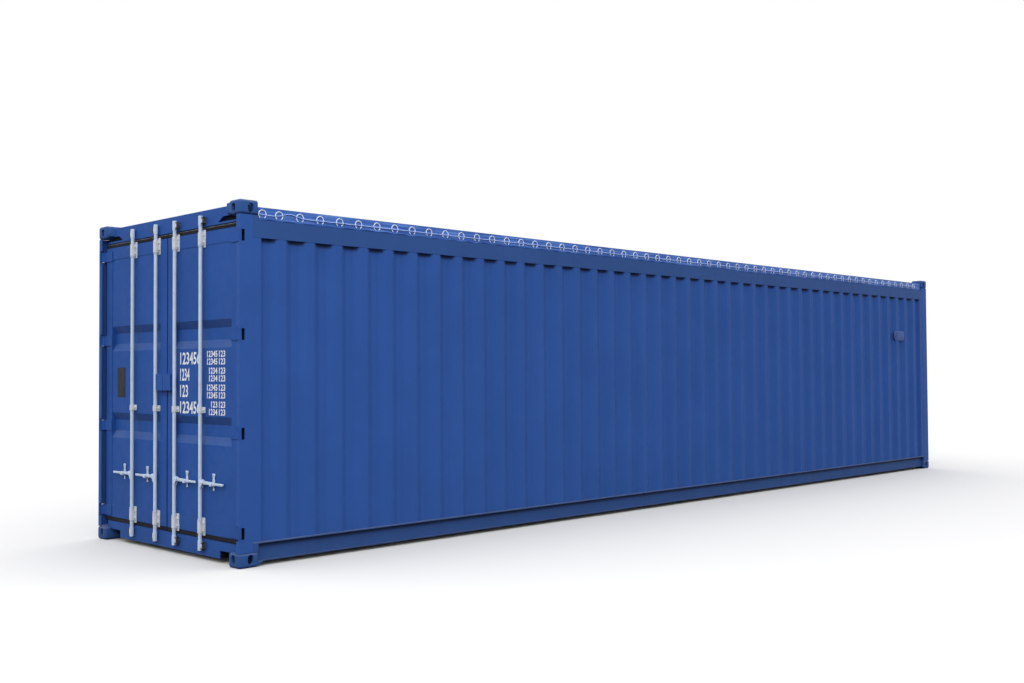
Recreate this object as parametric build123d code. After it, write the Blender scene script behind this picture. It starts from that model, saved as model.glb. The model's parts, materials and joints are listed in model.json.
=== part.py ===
from build123d import *
import os

# Shipping container with an open top under a tarpaulin, in millimetres.
# X runs along the length with the doors at the low end, Y across, Z up.
# The origin is on the ground, in the middle of the four bottom castings.

# Overall size, measured over the corner castings
LENGTH = 12192.0
WIDTH = 2438.0
HEIGHT = 2896.0

# Corner castings and the holes that twist locks go into
CASTING_LENGTH = 178.0
CASTING_WIDTH = 162.0
CASTING_HEIGHT = 118.0
CASTING_OUTER_WALL = 24.0
CASTING_INNER_WALL = 12.0
LOCK_HOLE_LENGTH = 124.5
LOCK_HOLE_WIDTH = 63.5
LOCK_HOLE_SET_X = 103.5
LOCK_HOLE_SET_Y = 89.5
FACE_HOLE_HEIGHT = 76.0
FACE_HOLE_WIDTH = 51.0
FACE_HOLE_CORNER = 15.0
CASTING_CORNER = 14.0
CASTING_EDGE = 9.0

# Corner posts
POST_INSET = 6.0
POST_WALL = 10.0
POST_LIP = 48.0
DOOR_STOP_GAP = 6.0
DOOR_STOP_DEPTH = 28.0
DOOR_STOP_WIDTH = 103.0
DOOR_STOP_WALL = 5.0
FRONT_POST_DEPTH = 154.0
FRONT_POST_WIDTH = 100.0
FRONT_POST_WALL = 6.0

# Side rails
BOTTOM_RAIL_LOW = 39.0
BOTTOM_RAIL_HIGH = 186.0
BOTTOM_RAIL_TOP_FLANGE = 48.0
BOTTOM_RAIL_LOW_FLANGE = 30.0
BOTTOM_RAIL_WALL = 4.5
TOP_RAIL_DROP = 48.0
TOP_RAIL_HEIGHT = 248.0
TOP_RAIL_LEDGE = 105.0
TOP_RAIL_WIDTH = 60.0
TOP_RAIL_STEP_IN = 20.0
TOP_RAIL_WALL = 4.0

# Corrugated sheets
SHEET = 2.0
SHEET_END_FLAT = 10.0
SHEET_END_FOLD = 24.0
SIDE_SHEET_INSET = 2.0
SIDE_PITCH = 277.0
SIDE_RECESS_FLAT = 70.0
SIDE_SLOPE = 68.0
SIDE_DEPTH = 36.0
FRONT_PITCH = 252.0
FRONT_RECESS_FLAT = 90.0
FRONT_SLOPE = 36.0
FRONT_DEPTH = 40.0
FRONT_SHEET_INSET = 4.0

# Front end frame
FRONT_SILL_DEPTH = 110.0
FRONT_SILL_LOW = 30.0
FRONT_RAIL_DROP = 40.0
FRAME_TUBE_WALL = 4.0

# Door sill and header
SILL_LOW = 40.0
SILL_HIGH = 175.0
SILL_LAP = 6.0
SILL_CUT_WIDTH = 199.0
SILL_CUT_HEIGHT = 64.0
SILL_CUT_BACK = 10.0
HEADER_DROP = 30.0
HEADER_HEIGHT = 134.0
HEADER_SHOULDER = 40.0
HEADER_SHOULDER_RISE = 24.0
HEADER_POCKET_RISE = 16.0
HEADER_POCKET_HEIGHT = 42.0
HEADER_POCKET_WIDTH = 275.0
HEADER_POCKET_SLANT = 75.0
HEADER_POCKET_DEPTH = 30.0

# Floor and its cross members
FLOOR_THICKNESS = 28.0
CROSS_MEMBER_HEIGHT = 122.0
CROSS_MEMBER_FLANGE = 45.0
CROSS_MEMBER_WALL = 4.0
CROSS_MEMBER_PITCH = 300.0

# Roof bows, tarpaulin, its rings and its cable
CROWN = 36.0
BOW_WIDTH = 40.0
BOW_HEIGHT = 30.0
BOW_PITCH = 610.0
TARP_THICKNESS = 3.0
TARP_CLEARANCE = 0.3
TARP_HEM_GAP = 3.0
RING_WIDTH = 78.0
RING_BAR = 8.0
RING_PITCH = 200.0
RING_END_GAP = 3.0
RING_SECOND = 378.0
RING_THIRD = 579.0
RING_DROP = 56.0
CABLE_DIAMETER = 6.0

# Lock rods and the gear that holds them on the doors, inside the ends of the castings
GEAR_INSET = 1.0
ROD_RADIUS = 17.0
ROD_GAP = 2.0
INNER_ROD_OFFSET = 165.0
OUTER_ROD_OFFSET = 590.0
PLATE = 5.0
STRAP_CLEARANCE = 0.3
STRAP_WALL = 4.0
STRAP_HEIGHT = 104.0
BRACKET_WIDTH = 92.0
BRACKET_HEIGHT = 146.0
BRACKET_LAP = 16.0
GUIDE_HEIGHT = 50.0
GUIDE_WIDTH = 92.0
GUIDE_DROP = 228.0

# Cams on the rods and the keepers that they turn into
CAM_NOSE = 23.0
CAM_WIDTH = 16.0
CAM_HEIGHT = 30.0
CAM_COLLAR_WALL = 3.0
CAM_COLLAR_HEIGHT = 84.0
TOP_CAM_RISE = 48.0
BOTTOM_CAM_DROP = 55.0
KEEPER_CLEARANCE = 5.0
KEEPER_WALL = 8.0
KEEPER_REACH = 12.0

# Handles, the ears that carry them on the rods and the hooks that hold them down
HANDLE_RISE = 420.0
HANDLE_END_GAP = 70.0
HANDLE_THICKNESS = 10.0
HANDLE_DEPTH = 30.0
HANDLE_TAPER = 8.0
HANDLE_CORNER = 6.0
HANDLE_EYE = 16.0
HANDLE_SIDE_GAP = 1.0
EAR_THICKNESS = 6.0
EAR_LAP = 18.0
EAR_HEIGHT = 40.0
EYE_GAP = 3.0
PIVOT_RADIUS = 6.0
RUNNING_CLEARANCE = 0.05
HOOK_SHARE = 0.5
HOOK_WIDTH = 36.0
HOOK_RISE = 78.0
HOOK_DROP = 58.0
HOOK_CORNER = 10.0
HOOK_LIP = 7.0
HOOK_LIP_GAP = 3.0
HOOK_LIP_RISE = 14.0
HOOK_SHELF = 8.0
HOOK_CLEARANCE = 0.5

# Doors
DOOR_THICKNESS = 45.0
DOOR_SILL_GAP = 41.0
DOOR_HEADER_GAP = 42.0
DOOR_EDGE = 79.0
CENTRE_GAP = 10.0
STILE_WIDTH = 110.0
DOOR_PANEL_SET = 4.0
GROOVE_DEPTH = 30.0
GROOVE_HEIGHT = 229.0
GROOVE_SLOPE = 66.0
GROOVE_OFFSET = 395.0
GASKET_DEPTH = 30.0
GASKET_CENTRE = 4.0
GASKET_EDGE = 26.0
GASKET_CLEARANCE = 5.0

# Door hinges at the corner edge of the rear posts
HINGE_PIN_SET = 15.0
HINGE_PIN_RADIUS = 8.0
HINGE_BARREL_RADIUS = 13.0
HINGE_KNUCKLE = 90.0
HINGE_LUG = 14.0
HINGE_AXIAL_GAP = 1.0
HINGE_NOTCH_DEPTH = 54.0
HINGE_BLADE = 8.0
HINGE_LEAF_LENGTH = 118.0
HINGE_SWING_GAP = 10.0
HINGE_FIRST_RISE = 56.0
HINGE_LAST_DROP = 78.0
HINGE_COUNT = 4

# Lock box across the two inner stiles
LOCK_BOX_ROD_GAP = 25.0
LOCK_BOX_HEIGHT = 141.0
LOCK_BOX_DEPTH = 44.0
LOCK_BOX_WALL = 5.0
LOCK_BOX_EDGE = 3.0

# Planes that follow from the sizes above
END = LENGTH / 2
SIDE = WIDTH / 2
CASTING_BACK = END - CASTING_LENGTH
CASTING_INNER = SIDE - CASTING_WIDTH
POST_FACE = SIDE - POST_INSET
POST_LOW = CASTING_HEIGHT
POST_HIGH = HEIGHT - CASTING_HEIGHT
RAIL_WEB = POST_FACE - BOTTOM_RAIL_TOP_FLANGE
TOP_RAIL_FACE = POST_FACE - TOP_RAIL_STEP_IN
TOP_RAIL_HIGH = HEIGHT - TOP_RAIL_DROP
TOP_RAIL_STEP = TOP_RAIL_HIGH - TOP_RAIL_LEDGE
TOP_RAIL_LOW = TOP_RAIL_HIGH - TOP_RAIL_HEIGHT
FLOOR_LOW = BOTTOM_RAIL_HIGH - FLOOR_THICKNESS
HEADER_HIGH = HEIGHT - HEADER_DROP
HEADER_LOW = HEADER_HIGH - HEADER_HEIGHT
PIN_X = -END + HINGE_PIN_SET
PIN_Y = SIDE - HINGE_PIN_SET
STRAP_RADIUS = ROD_RADIUS + STRAP_CLEARANCE + STRAP_WALL
ROD_X = -END + GEAR_INSET + STRAP_RADIUS
DOOR_FACE = ROD_X + ROD_RADIUS + ROD_GAP + PLATE
DOOR_BACK = DOOR_FACE + DOOR_THICKNESS
DOOR_OUTER = SIDE - DOOR_EDGE
DOOR_LOW = SILL_HIGH + DOOR_SILL_GAP
DOOR_HIGH = HEADER_LOW - DOOR_HEADER_GAP
DOOR_MIDDLE = (DOOR_LOW + DOOR_HIGH) / 2
REAR_POST_BACK = DOOR_BACK + DOOR_STOP_GAP + DOOR_STOP_DEPTH
SILL_BACK = REAR_POST_BACK + SILL_LAP
DOOR_STOP_INNER = POST_FACE - POST_WALL - DOOR_STOP_WIDTH
FRONT_POST_BACK = END - POST_INSET - FRONT_POST_DEPTH
FRONT_POST_INNER = POST_FACE - FRONT_POST_WIDTH
FRONT_SHEET_FACE = END - POST_INSET - FRONT_SHEET_INSET
FRONT_SHEET_BACK = FRONT_SHEET_FACE - FRONT_DEPTH - SHEET
RAIL_REAR = max(-CASTING_BACK, REAR_POST_BACK)
RAIL_FRONT = min(CASTING_BACK, FRONT_POST_BACK)
SKIRT_FACE = TOP_RAIL_FACE + TARP_CLEARANCE + TARP_THICKNESS
RING_Z = TOP_RAIL_HIGH - RING_DROP
TOP_CAM_Z = HEADER_LOW + TOP_CAM_RISE
BOTTOM_CAM_Z = SILL_HIGH - BOTTOM_CAM_DROP
CAM_REACH = ROD_RADIUS + CAM_NOSE
GUIDE_Z = DOOR_MIDDLE - GUIDE_DROP
HANDLE_Z = DOOR_LOW + HANDLE_RISE
HINGE_HALF = HINGE_KNUCKLE / 2 + HINGE_AXIAL_GAP + HINGE_LUG
HANDLE_LENGTH = OUTER_ROD_OFFSET - INNER_ROD_OFFSET - HANDLE_END_GAP
PIVOT_OFFSET = ROD_RADIUS + EYE_GAP + HANDLE_EYE
LOCK_BOX_WIDTH = INNER_ROD_OFFSET - ROD_RADIUS - LOCK_BOX_ROD_GAP - LOCK_BOX_EDGE


def block(x0, x1, y0, y1, z0, z1):
    """A box between two corners."""
    solid = Box(x1 - x0, y1 - y0, z1 - z0)
    return Pos((x0 + x1) / 2, (y0 + y1) / 2, (z0 + z1) / 2) * solid


def area(a0, a1, b0, b1):
    """A rectangle between two corners of a plane."""
    return Pos((a0 + a1) / 2, (b0 + b1) / 2) * Rectangle(a1 - a0, b1 - b0)


def outline(*points):
    """A closed shape through points of a plane."""
    return make_face(Polyline(*points, close=True))


def along_x(profile, x0, x1):
    """Runs a profile drawn in Y and Z from x0 to x1."""
    return extrude(Plane.YZ.offset(x0) * profile, amount=x1 - x0)


def along_y(profile, y0, y1):
    """Runs a profile drawn in X and Z from y0 to y1."""
    return extrude(Plane.XZ.offset(-y1) * profile, amount=y1 - y0)


def along_z(profile, z0, z1):
    """Runs a profile drawn in X and Y from z0 to z1."""
    return extrude(Plane.XY.offset(z0) * profile, amount=z1 - z0)


def other_side(shape):
    """The same piece on the left, across the middle of the container."""
    return mirror(shape, about=Plane.XZ)


def other_end(shape):
    """The same piece at the front, across the middle of the length."""
    return mirror(shape, about=Plane.YZ)


def both_sides(shape):
    return [shape, other_side(shape)]


def save(name, shapes):
    """Writes one node: all its solids in one file."""
    solids = [solid for shape in shapes for solid in shape.solids()]
    export_step(Compound(children=solids), f"parts/{name}.step")


def wave(start, end, pitch, recess, slope, depth, sheet):
    """A folded sheet's section, pressed in along the second axis, with a steep fold next to each end."""
    width = recess + 2 * slope
    flat = pitch - width
    count = int((end - start + flat - 2 * SHEET_END_FLAT) // pitch)
    first = (start + end - count * pitch + flat) / 2
    line = [(start, 0)]
    for i in range(count):
        left = first + i * pitch + slope
        right = left + recess
        lead = slope if i > 0 else SHEET_END_FOLD
        tail = slope if i < count - 1 else SHEET_END_FOLD
        line += [(left - lead, 0), (left, depth), (right, depth), (right + tail, 0)]
    line += [(end, 0)]
    back = [(a, b + sheet) for a, b in reversed(line)]
    return outline(*line, *back)


# Corner castings

def corner_casting():
    """The bottom casting at the right of the doors: a hollow block with three slotted faces."""
    x0, x1 = -END, -CASTING_BACK
    y0, y1 = -SIDE, -CASTING_INNER
    cut = CASTING_CORNER
    plan = outline((x0 + cut, y0), (x1, y0), (x1, y1), (x0, y1), (x0, y0 + cut))
    body = along_z(plan, 0, CASTING_HEIGHT)
    ground = body.edges().group_by(Axis.Z)[0].sort_by(Axis.X)
    body = chamfer(ground[:2] + ground.sort_by(Axis.Y)[:1], CASTING_EDGE)
    outer, inner = CASTING_OUTER_WALL, CASTING_INNER_WALL
    body -= block(x0 + outer, x1 - inner, y0 + outer, y1 - inner, outer, CASTING_HEIGHT - inner)
    hole_x, hole_y = x0 + LOCK_HOLE_SET_X, y0 + LOCK_HOLE_SET_Y
    hole_z = (outer + CASTING_HEIGHT - inner) / 2
    body -= along_z(Pos(hole_x, hole_y) * SlotOverall(LOCK_HOLE_LENGTH, LOCK_HOLE_WIDTH), 0, outer)
    upright = chamfer(Rectangle(FACE_HOLE_WIDTH, FACE_HOLE_HEIGHT).vertices(), FACE_HOLE_CORNER)
    body -= along_x(Pos(hole_y, hole_z) * upright, x0, x0 + outer)
    body -= along_y(Pos(hole_x, hole_z) * upright, y0, y0 + outer)
    return body


def four_corners(casting):
    pair = both_sides(casting)
    return pair + [other_end(one) for one in pair]


def upside_down(casting):
    return mirror(casting, about=Plane.XY.offset(HEIGHT / 2))


# Corner posts

def hinge_heights():
    first = DOOR_LOW + HINGE_FIRST_RISE
    spacing = (DOOR_HIGH - HINGE_LAST_DROP - first) / (HINGE_COUNT - 1)
    return [first + i * spacing for i in range(HINGE_COUNT)]


def rear_post():
    """Lipped plate beside the right door, notched for the hinges, with a hollow stop behind the leaf."""
    front, back = -END + POST_INSET, REAR_POST_BACK
    web = area(front, back, -POST_FACE, -POST_FACE + POST_WALL)
    web += area(front, front + POST_WALL, -POST_FACE, -POST_FACE + POST_LIP)
    stop = area(back - DOOR_STOP_DEPTH, back, -POST_FACE, -DOOR_STOP_INNER)
    hollow = area(
        back - DOOR_STOP_DEPTH + DOOR_STOP_WALL,
        back - DOOR_STOP_WALL,
        -POST_FACE + POST_WALL,
        -DOOR_STOP_INNER - DOOR_STOP_WALL,
    )
    post = along_z(web + stop - hollow, POST_LOW, POST_HIGH)
    deep, wide = -END + HINGE_NOTCH_DEPTH, -SIDE + DOOR_EDGE
    for z in hinge_heights():
        post -= block(-END, deep, -SIDE, wide, z - HINGE_HALF, z + HINGE_HALF)
    return post


def front_post():
    front, back = END - POST_INSET, FRONT_POST_BACK
    wall = FRONT_POST_WALL
    tube = area(back, front, -POST_FACE, -FRONT_POST_INNER)
    tube -= area(back + wall, front - wall, -POST_FACE + wall, -FRONT_POST_INNER - wall)
    return along_z(tube, POST_LOW, POST_HIGH)


# Rails and walls

def bottom_side_rail():
    """Channel that opens outwards, with plates that close it against the posts."""
    wall = BOTTOM_RAIL_WALL
    low, high = BOTTOM_RAIL_LOW, BOTTOM_RAIL_HIGH
    web = area(-RAIL_WEB - wall, -RAIL_WEB, low, high)
    top = area(-POST_FACE, -RAIL_WEB, high - wall, high)
    bottom = area(-RAIL_WEB - BOTTOM_RAIL_LOW_FLANGE, -RAIL_WEB, low, low + wall)
    rail = along_x(web + top + bottom, RAIL_REAR, RAIL_FRONT)
    if REAR_POST_BACK < RAIL_REAR:
        rail += block(REAR_POST_BACK, RAIL_REAR, -POST_FACE, -RAIL_WEB, POST_LOW, high)
    if FRONT_POST_BACK > RAIL_FRONT:
        rail += block(RAIL_FRONT, FRONT_POST_BACK, -POST_FACE, -RAIL_WEB, POST_LOW, high)
    return rail


def top_side_rail():
    """Stepped tube, set back behind the tarpaulin's skirt, with plates that close it against the posts."""
    wall = TOP_RAIL_WALL
    inner_face = TOP_RAIL_FACE - TOP_RAIL_WIDTH
    low = area(-POST_FACE, -inner_face, TOP_RAIL_LOW, TOP_RAIL_STEP)
    low -= area(-POST_FACE + wall, -inner_face - wall, TOP_RAIL_LOW + wall, TOP_RAIL_STEP - wall)
    high = area(-TOP_RAIL_FACE, -inner_face, TOP_RAIL_STEP, TOP_RAIL_HIGH)
    high -= area(-TOP_RAIL_FACE + wall, -inner_face - wall, TOP_RAIL_STEP, TOP_RAIL_HIGH - wall)
    rail = along_x(low, REAR_POST_BACK, FRONT_POST_BACK)
    rail += along_x(high, RAIL_REAR, RAIL_FRONT)
    if REAR_POST_BACK < RAIL_REAR:
        rail += block(REAR_POST_BACK, RAIL_REAR, -POST_FACE, -inner_face, TOP_RAIL_STEP, POST_HIGH)
    if FRONT_POST_BACK > RAIL_FRONT:
        rail += block(RAIL_FRONT, FRONT_POST_BACK, -POST_FACE, -inner_face, TOP_RAIL_STEP, POST_HIGH)
    return rail


def side_wall():
    face = -POST_FACE + SIDE_SHEET_INSET
    section = wave(
        REAR_POST_BACK,
        FRONT_POST_BACK,
        SIDE_PITCH,
        SIDE_RECESS_FLAT,
        SIDE_SLOPE,
        SIDE_DEPTH,
        SHEET,
    )
    return along_z(Pos(0, face) * section, BOTTOM_RAIL_HIGH, TOP_RAIL_LOW)


def front_wall():
    section = wave(
        -FRONT_POST_INNER,
        FRONT_POST_INNER,
        FRONT_PITCH,
        FRONT_RECESS_FLAT,
        FRONT_SLOPE,
        FRONT_DEPTH,
        SHEET,
    )
    turned = Rot(0, 0, 90) * section
    return along_z(Pos(FRONT_SHEET_FACE, 0) * turned, POST_LOW, POST_HIGH)


def end_tube(x0, x1, z0, z1):
    """Square tube across the front, between two castings."""
    wall = FRAME_TUBE_WALL
    section = area(x0, x1, z0, z1) - area(x0 + wall, x1 - wall, z0 + wall, z1 - wall)
    return along_y(section, -CASTING_INNER, CASTING_INNER)


def front_sill():
    face = END - POST_INSET
    return end_tube(face - FRONT_SILL_DEPTH, face, FRONT_SILL_LOW, POST_LOW)


def front_top_rail():
    face = END - POST_INSET
    return end_tube(RAIL_FRONT, face, POST_HIGH, HEIGHT - FRONT_RAIL_DROP)


def door_sill():
    """Beam under the doors, with a pocket at the bottom beside each casting."""
    face = area(-CASTING_INNER, CASTING_INNER, SILL_LOW, SILL_HIGH)
    face += area(-DOOR_STOP_INNER, DOOR_STOP_INNER, POST_LOW, SILL_HIGH)
    beam = along_x(face, DOOR_FACE, SILL_BACK)
    cut_y, cut_z = -CASTING_INNER + SILL_CUT_WIDTH, SILL_LOW + SILL_CUT_HEIGHT
    cut = block(DOOR_FACE, SILL_BACK - SILL_CUT_BACK, -CASTING_INNER, cut_y, SILL_LOW, cut_z)
    return beam - cut - other_side(cut)


def door_header():
    """Beam over the doors, with a sloped shoulder and a slanted pocket in its face at each end."""
    top = HEADER_HIGH + HEADER_SHOULDER_RISE
    half, short = CASTING_INNER, CASTING_INNER - HEADER_SHOULDER
    face = area(-half, half, HEADER_LOW, HEADER_HIGH)
    face += outline((-half, HEADER_HIGH), (-half, top), (-short, HEADER_HIGH))
    face += outline((half, HEADER_HIGH), (half, top), (short, HEADER_HIGH))
    face += area(-DOOR_STOP_INNER, DOOR_STOP_INNER, HEADER_LOW, POST_HIGH)
    beam = along_x(face, DOOR_FACE, RAIL_REAR)
    low = HEADER_LOW + HEADER_POCKET_RISE
    high = low + HEADER_POCKET_HEIGHT
    outer = -DOOR_STOP_INNER
    inner = outer + HEADER_POCKET_WIDTH
    pocket = outline((outer, low), (inner, low), (inner - HEADER_POCKET_SLANT, high), (outer, high))
    cut = along_x(pocket, DOOR_FACE, DOOR_FACE + HEADER_POCKET_DEPTH)
    return beam - cut - other_side(cut)


# Floor

def floor_boards():
    board = area(SILL_BACK, FRONT_POST_BACK, -RAIL_WEB, RAIL_WEB)
    board += area(0, FRONT_SHEET_BACK, -FRONT_POST_INNER, FRONT_POST_INNER)
    return along_z(board, FLOOR_LOW, BOTTOM_RAIL_HIGH)


def cross_members():
    """Channels that carry the floor between the two bottom rails."""
    low = FLOOR_LOW - CROSS_MEMBER_HEIGHT
    wall = CROSS_MEMBER_WALL
    section = area(0, CROSS_MEMBER_FLANGE, low, FLOOR_LOW)
    section -= area(wall, CROSS_MEMBER_FLANGE, low + wall, FLOOR_LOW - wall)
    first = SILL_BACK + CROSS_MEMBER_PITCH
    last = END - POST_INSET - FRONT_SILL_DEPTH - CROSS_MEMBER_PITCH / 2
    count = int((last - first) // CROSS_MEMBER_PITCH) + 1
    member = along_y(section, -RAIL_WEB, RAIL_WEB)
    return [Pos(first + i * CROSS_MEMBER_PITCH, 0, 0) * member for i in range(count)]


# Open top

def roof_bows():
    """Bars between the top rails, bent up in the middle so that rain runs off."""
    half = TOP_RAIL_FACE - TOP_RAIL_WIDTH
    high = TOP_RAIL_HIGH
    low = TOP_RAIL_HIGH - BOW_HEIGHT
    section = outline(
        (-half, low), (-half, high), (0, high + CROWN), (half, high), (half, low), (0, low + CROWN)
    )
    bow = along_x(section, -BOW_WIDTH / 2, BOW_WIDTH / 2)
    count = int((RAIL_FRONT - RAIL_REAR) // BOW_PITCH)
    first = (RAIL_REAR + RAIL_FRONT - (count - 1) * BOW_PITCH) / 2
    return [Pos(first + i * BOW_PITCH, 0, 0) * bow for i in range(count)]


def tarpaulin():
    """Sheet over the bows and the top rails, with a skirt down each side."""
    inner, outer = TOP_RAIL_FACE + TARP_CLEARANCE, SKIRT_FACE
    hem = TOP_RAIL_STEP + TARP_HEM_GAP
    under = TOP_RAIL_HIGH + TARP_CLEARANCE
    over = under + TARP_THICKNESS
    right = [(-inner, hem), (-outer, hem), (-outer, over), (0, over + CROWN)]
    left = [(outer, over), (outer, hem), (inner, hem), (inner, under)]
    section = outline(*right, *left, (0, under + CROWN), (-inner, under))
    return along_x(section, RAIL_REAR, RAIL_FRONT)


def ring_places():
    """Rings sit closer together next to the doors, then at one pitch to the front."""
    places = [RAIL_REAR + RING_WIDTH / 2 + RING_END_GAP, -END + RING_SECOND]
    start = -END + RING_THIRD
    count = int((RAIL_FRONT - RING_WIDTH - start) // RING_PITCH) + 1
    return places + [start + i * RING_PITCH for i in range(count)]


def tarpaulin_rings():
    """Hoops that lie flat on the skirt, for the cable that ties it down."""
    half = RING_WIDTH / 2
    bar = RING_BAR
    hoop = area(-half, half, RING_Z - half, RING_Z + half)
    hoop -= area(-half + bar, half - bar, RING_Z - half, RING_Z + half - bar)
    ring = along_y(hoop, -SKIRT_FACE - bar, -SKIRT_FACE)
    rings = [Pos(x, 0, 0) * ring for x in ring_places()]
    return rings + [other_side(one) for one in rings]


def tarpaulin_cable():
    """Cable that runs over the hoops along each side."""
    middle = -SKIRT_FACE - RING_BAR - TARP_CLEARANCE - CABLE_DIAMETER / 2
    section = Pos(middle, RING_Z) * RegularPolygon(CABLE_DIAMETER / 2, 6)
    places = ring_places()
    reach = RING_WIDTH / 2
    return along_x(section, places[0] - reach, places[-1] + reach)


# Door hinges. Pins, bores and barrels are eight-sided, and a bore's flats lie outside its pin's corners.

def at_pin(shape):
    return Pos(PIN_X, -PIN_Y) * shape


def hinge_lugs():
    """Two lugs and a pin for each hinge, welded into the right post's notches."""
    half = HINGE_HALF
    inner = half - HINGE_LUG
    foot = area(PIN_X, -END + HINGE_NOTCH_DEPTH, -POST_FACE, -POST_FACE + POST_WALL)
    plan = at_pin(RegularPolygon(HINGE_BARREL_RADIUS, 8)) + foot
    pin = at_pin(RegularPolygon(HINGE_PIN_RADIUS, 8))
    lugs = []
    for z in hinge_heights():
        lug = along_z(plan, z + inner, z + half)
        lug += along_z(plan, z - half, z - inner)
        lug += along_z(pin, z - inner, z + inner)
        lugs.append(lug)
    return lugs


def door_hinges():
    """A knuckle on each pin, with a cranked blade that lies on the right door's outer stile."""
    blade = HINGE_BLADE
    half = HINGE_KNUCKLE / 2
    near = -PIN_Y + HINGE_BARREL_RADIUS + HINGE_SWING_GAP
    plan = area(DOOR_FACE - blade, DOOR_FACE, near, -DOOR_OUTER + HINGE_LEAF_LENGTH)
    plan += outline(
        (PIN_X, -PIN_Y - blade / 2),
        (DOOR_FACE, near),
        (DOOR_FACE - blade, near + blade),
        (PIN_X, -PIN_Y + blade / 2),
    )
    plan += at_pin(RegularPolygon(HINGE_BARREL_RADIUS, 8))
    plan -= at_pin(RegularPolygon(HINGE_PIN_RADIUS + RUNNING_CLEARANCE, 8, major_radius=False))
    return [along_z(plan, z - half, z + half) for z in hinge_heights()]


# Door leaf on the right

def door_frame():
    frame = area(-DOOR_OUTER, -CENTRE_GAP, DOOR_LOW, DOOR_HIGH)
    frame -= area(
        -DOOR_OUTER + STILE_WIDTH,
        -CENTRE_GAP - STILE_WIDTH,
        DOOR_LOW + STILE_WIDTH,
        DOOR_HIGH - STILE_WIDTH,
    )
    return along_x(frame, DOOR_FACE, DOOR_BACK)


def door_panel():
    """Sheet pressed with two grooves that run across the door."""
    line = [(0, DOOR_LOW + STILE_WIDTH)]
    for middle in (DOOR_MIDDLE - GROOVE_OFFSET, DOOR_MIDDLE + GROOVE_OFFSET):
        low = middle - GROOVE_HEIGHT / 2
        high = middle + GROOVE_HEIGHT / 2
        line += [(0, low), (GROOVE_DEPTH, low + GROOVE_SLOPE)]
        line += [(GROOVE_DEPTH, high - GROOVE_SLOPE), (0, high)]
    line += [(0, DOOR_HIGH - STILE_WIDTH)]
    back = [(x + SHEET, z) for x, z in reversed(line)]
    section = Pos(DOOR_FACE + DOOR_PANEL_SET, 0) * outline(*line, *back)
    return along_y(section, -DOOR_OUTER + STILE_WIDTH, -CENTRE_GAP - STILE_WIDTH)


def door_gasket():
    """Rubber strip round the edge of the leaf."""
    strip = area(
        -DOOR_OUTER - GASKET_EDGE,
        -GASKET_CENTRE,
        SILL_HIGH + GASKET_CLEARANCE,
        HEADER_LOW - GASKET_CLEARANCE,
    )
    strip -= area(-DOOR_OUTER, -CENTRE_GAP, DOOR_LOW, DOOR_HIGH)
    middle = (DOOR_FACE + DOOR_BACK) / 2
    return along_x(strip, middle - GASKET_DEPTH / 2, middle + GASKET_DEPTH / 2)


def lock_box():
    """Half of the lock's cover on the right door, open below and towards the other half."""
    x0, x1 = DOOR_FACE - LOCK_BOX_DEPTH, DOOR_FACE
    y0, y1 = -LOCK_BOX_EDGE - LOCK_BOX_WIDTH, -LOCK_BOX_EDGE
    z0, z1 = DOOR_MIDDLE - LOCK_BOX_HEIGHT / 2, DOOR_MIDDLE + LOCK_BOX_HEIGHT / 2
    wall = LOCK_BOX_WALL
    return block(x0, x1, y0, y1, z0, z1) - block(x0 + wall, x1, y0 + wall, y1, z0, z1 - wall)


# Lock rods on the right door, each drawn at the side's middle and moved to its place

def bearing(z, width, height, strap_height):
    """Plate on the door with an eight-sided strap round the rod."""
    plate = block(DOOR_FACE - PLATE, DOOR_FACE, -width / 2, width / 2, z - height / 2, z + height / 2)
    strap = RegularPolygon(STRAP_RADIUS, 8, major_radius=False, rotation=22.5)
    strap -= RegularPolygon(ROD_RADIUS + STRAP_CLEARANCE, 8, major_radius=False, rotation=22.5)
    return plate + along_z(Pos(ROD_X, 0) * strap, z - strap_height / 2, z + strap_height / 2)


def rod_brackets():
    """Bearings at the top and bottom of the leaf, and a narrow guide at mid height."""
    reach = BRACKET_HEIGHT / 2 - BRACKET_LAP
    low = bearing(DOOR_LOW + reach, BRACKET_WIDTH, BRACKET_HEIGHT, STRAP_HEIGHT)
    high = bearing(DOOR_HIGH - reach, BRACKET_WIDTH, BRACKET_HEIGHT, STRAP_HEIGHT)
    guide = bearing(GUIDE_Z, GUIDE_WIDTH, GUIDE_HEIGHT, GUIDE_HEIGHT)
    return [low, high, guide]


def handle_hook():
    """Plate with a hooked shelf that the handle lies in."""
    middle = -HANDLE_LENGTH * HOOK_SHARE
    y0, y1 = middle - HOOK_WIDTH / 2, middle + HOOK_WIDTH / 2
    shelf_z = HANDLE_Z - HANDLE_DEPTH / 2 - HOOK_CLEARANCE
    lip_x = ROD_X - HANDLE_THICKNESS / 2 - HOOK_LIP_GAP
    low, high = HANDLE_Z - HOOK_DROP, HANDLE_Z + HOOK_RISE
    cut = HOOK_CORNER
    plate = outline(
        (y0, low), (y0, high - cut), (y0 + cut, high), (y1 - cut, high), (y1, high - cut), (y1, low)
    )
    hook = along_x(plate, DOOR_FACE - PLATE, DOOR_FACE)
    hook += block(lip_x - HOOK_LIP, DOOR_FACE, y0, y1, shelf_z - HOOK_SHELF, shelf_z)
    hook += block(lip_x - HOOK_LIP, lip_x, y0, y1, shelf_z - HOOK_SHELF, shelf_z + HOOK_LIP_RISE)
    return hook


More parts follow.
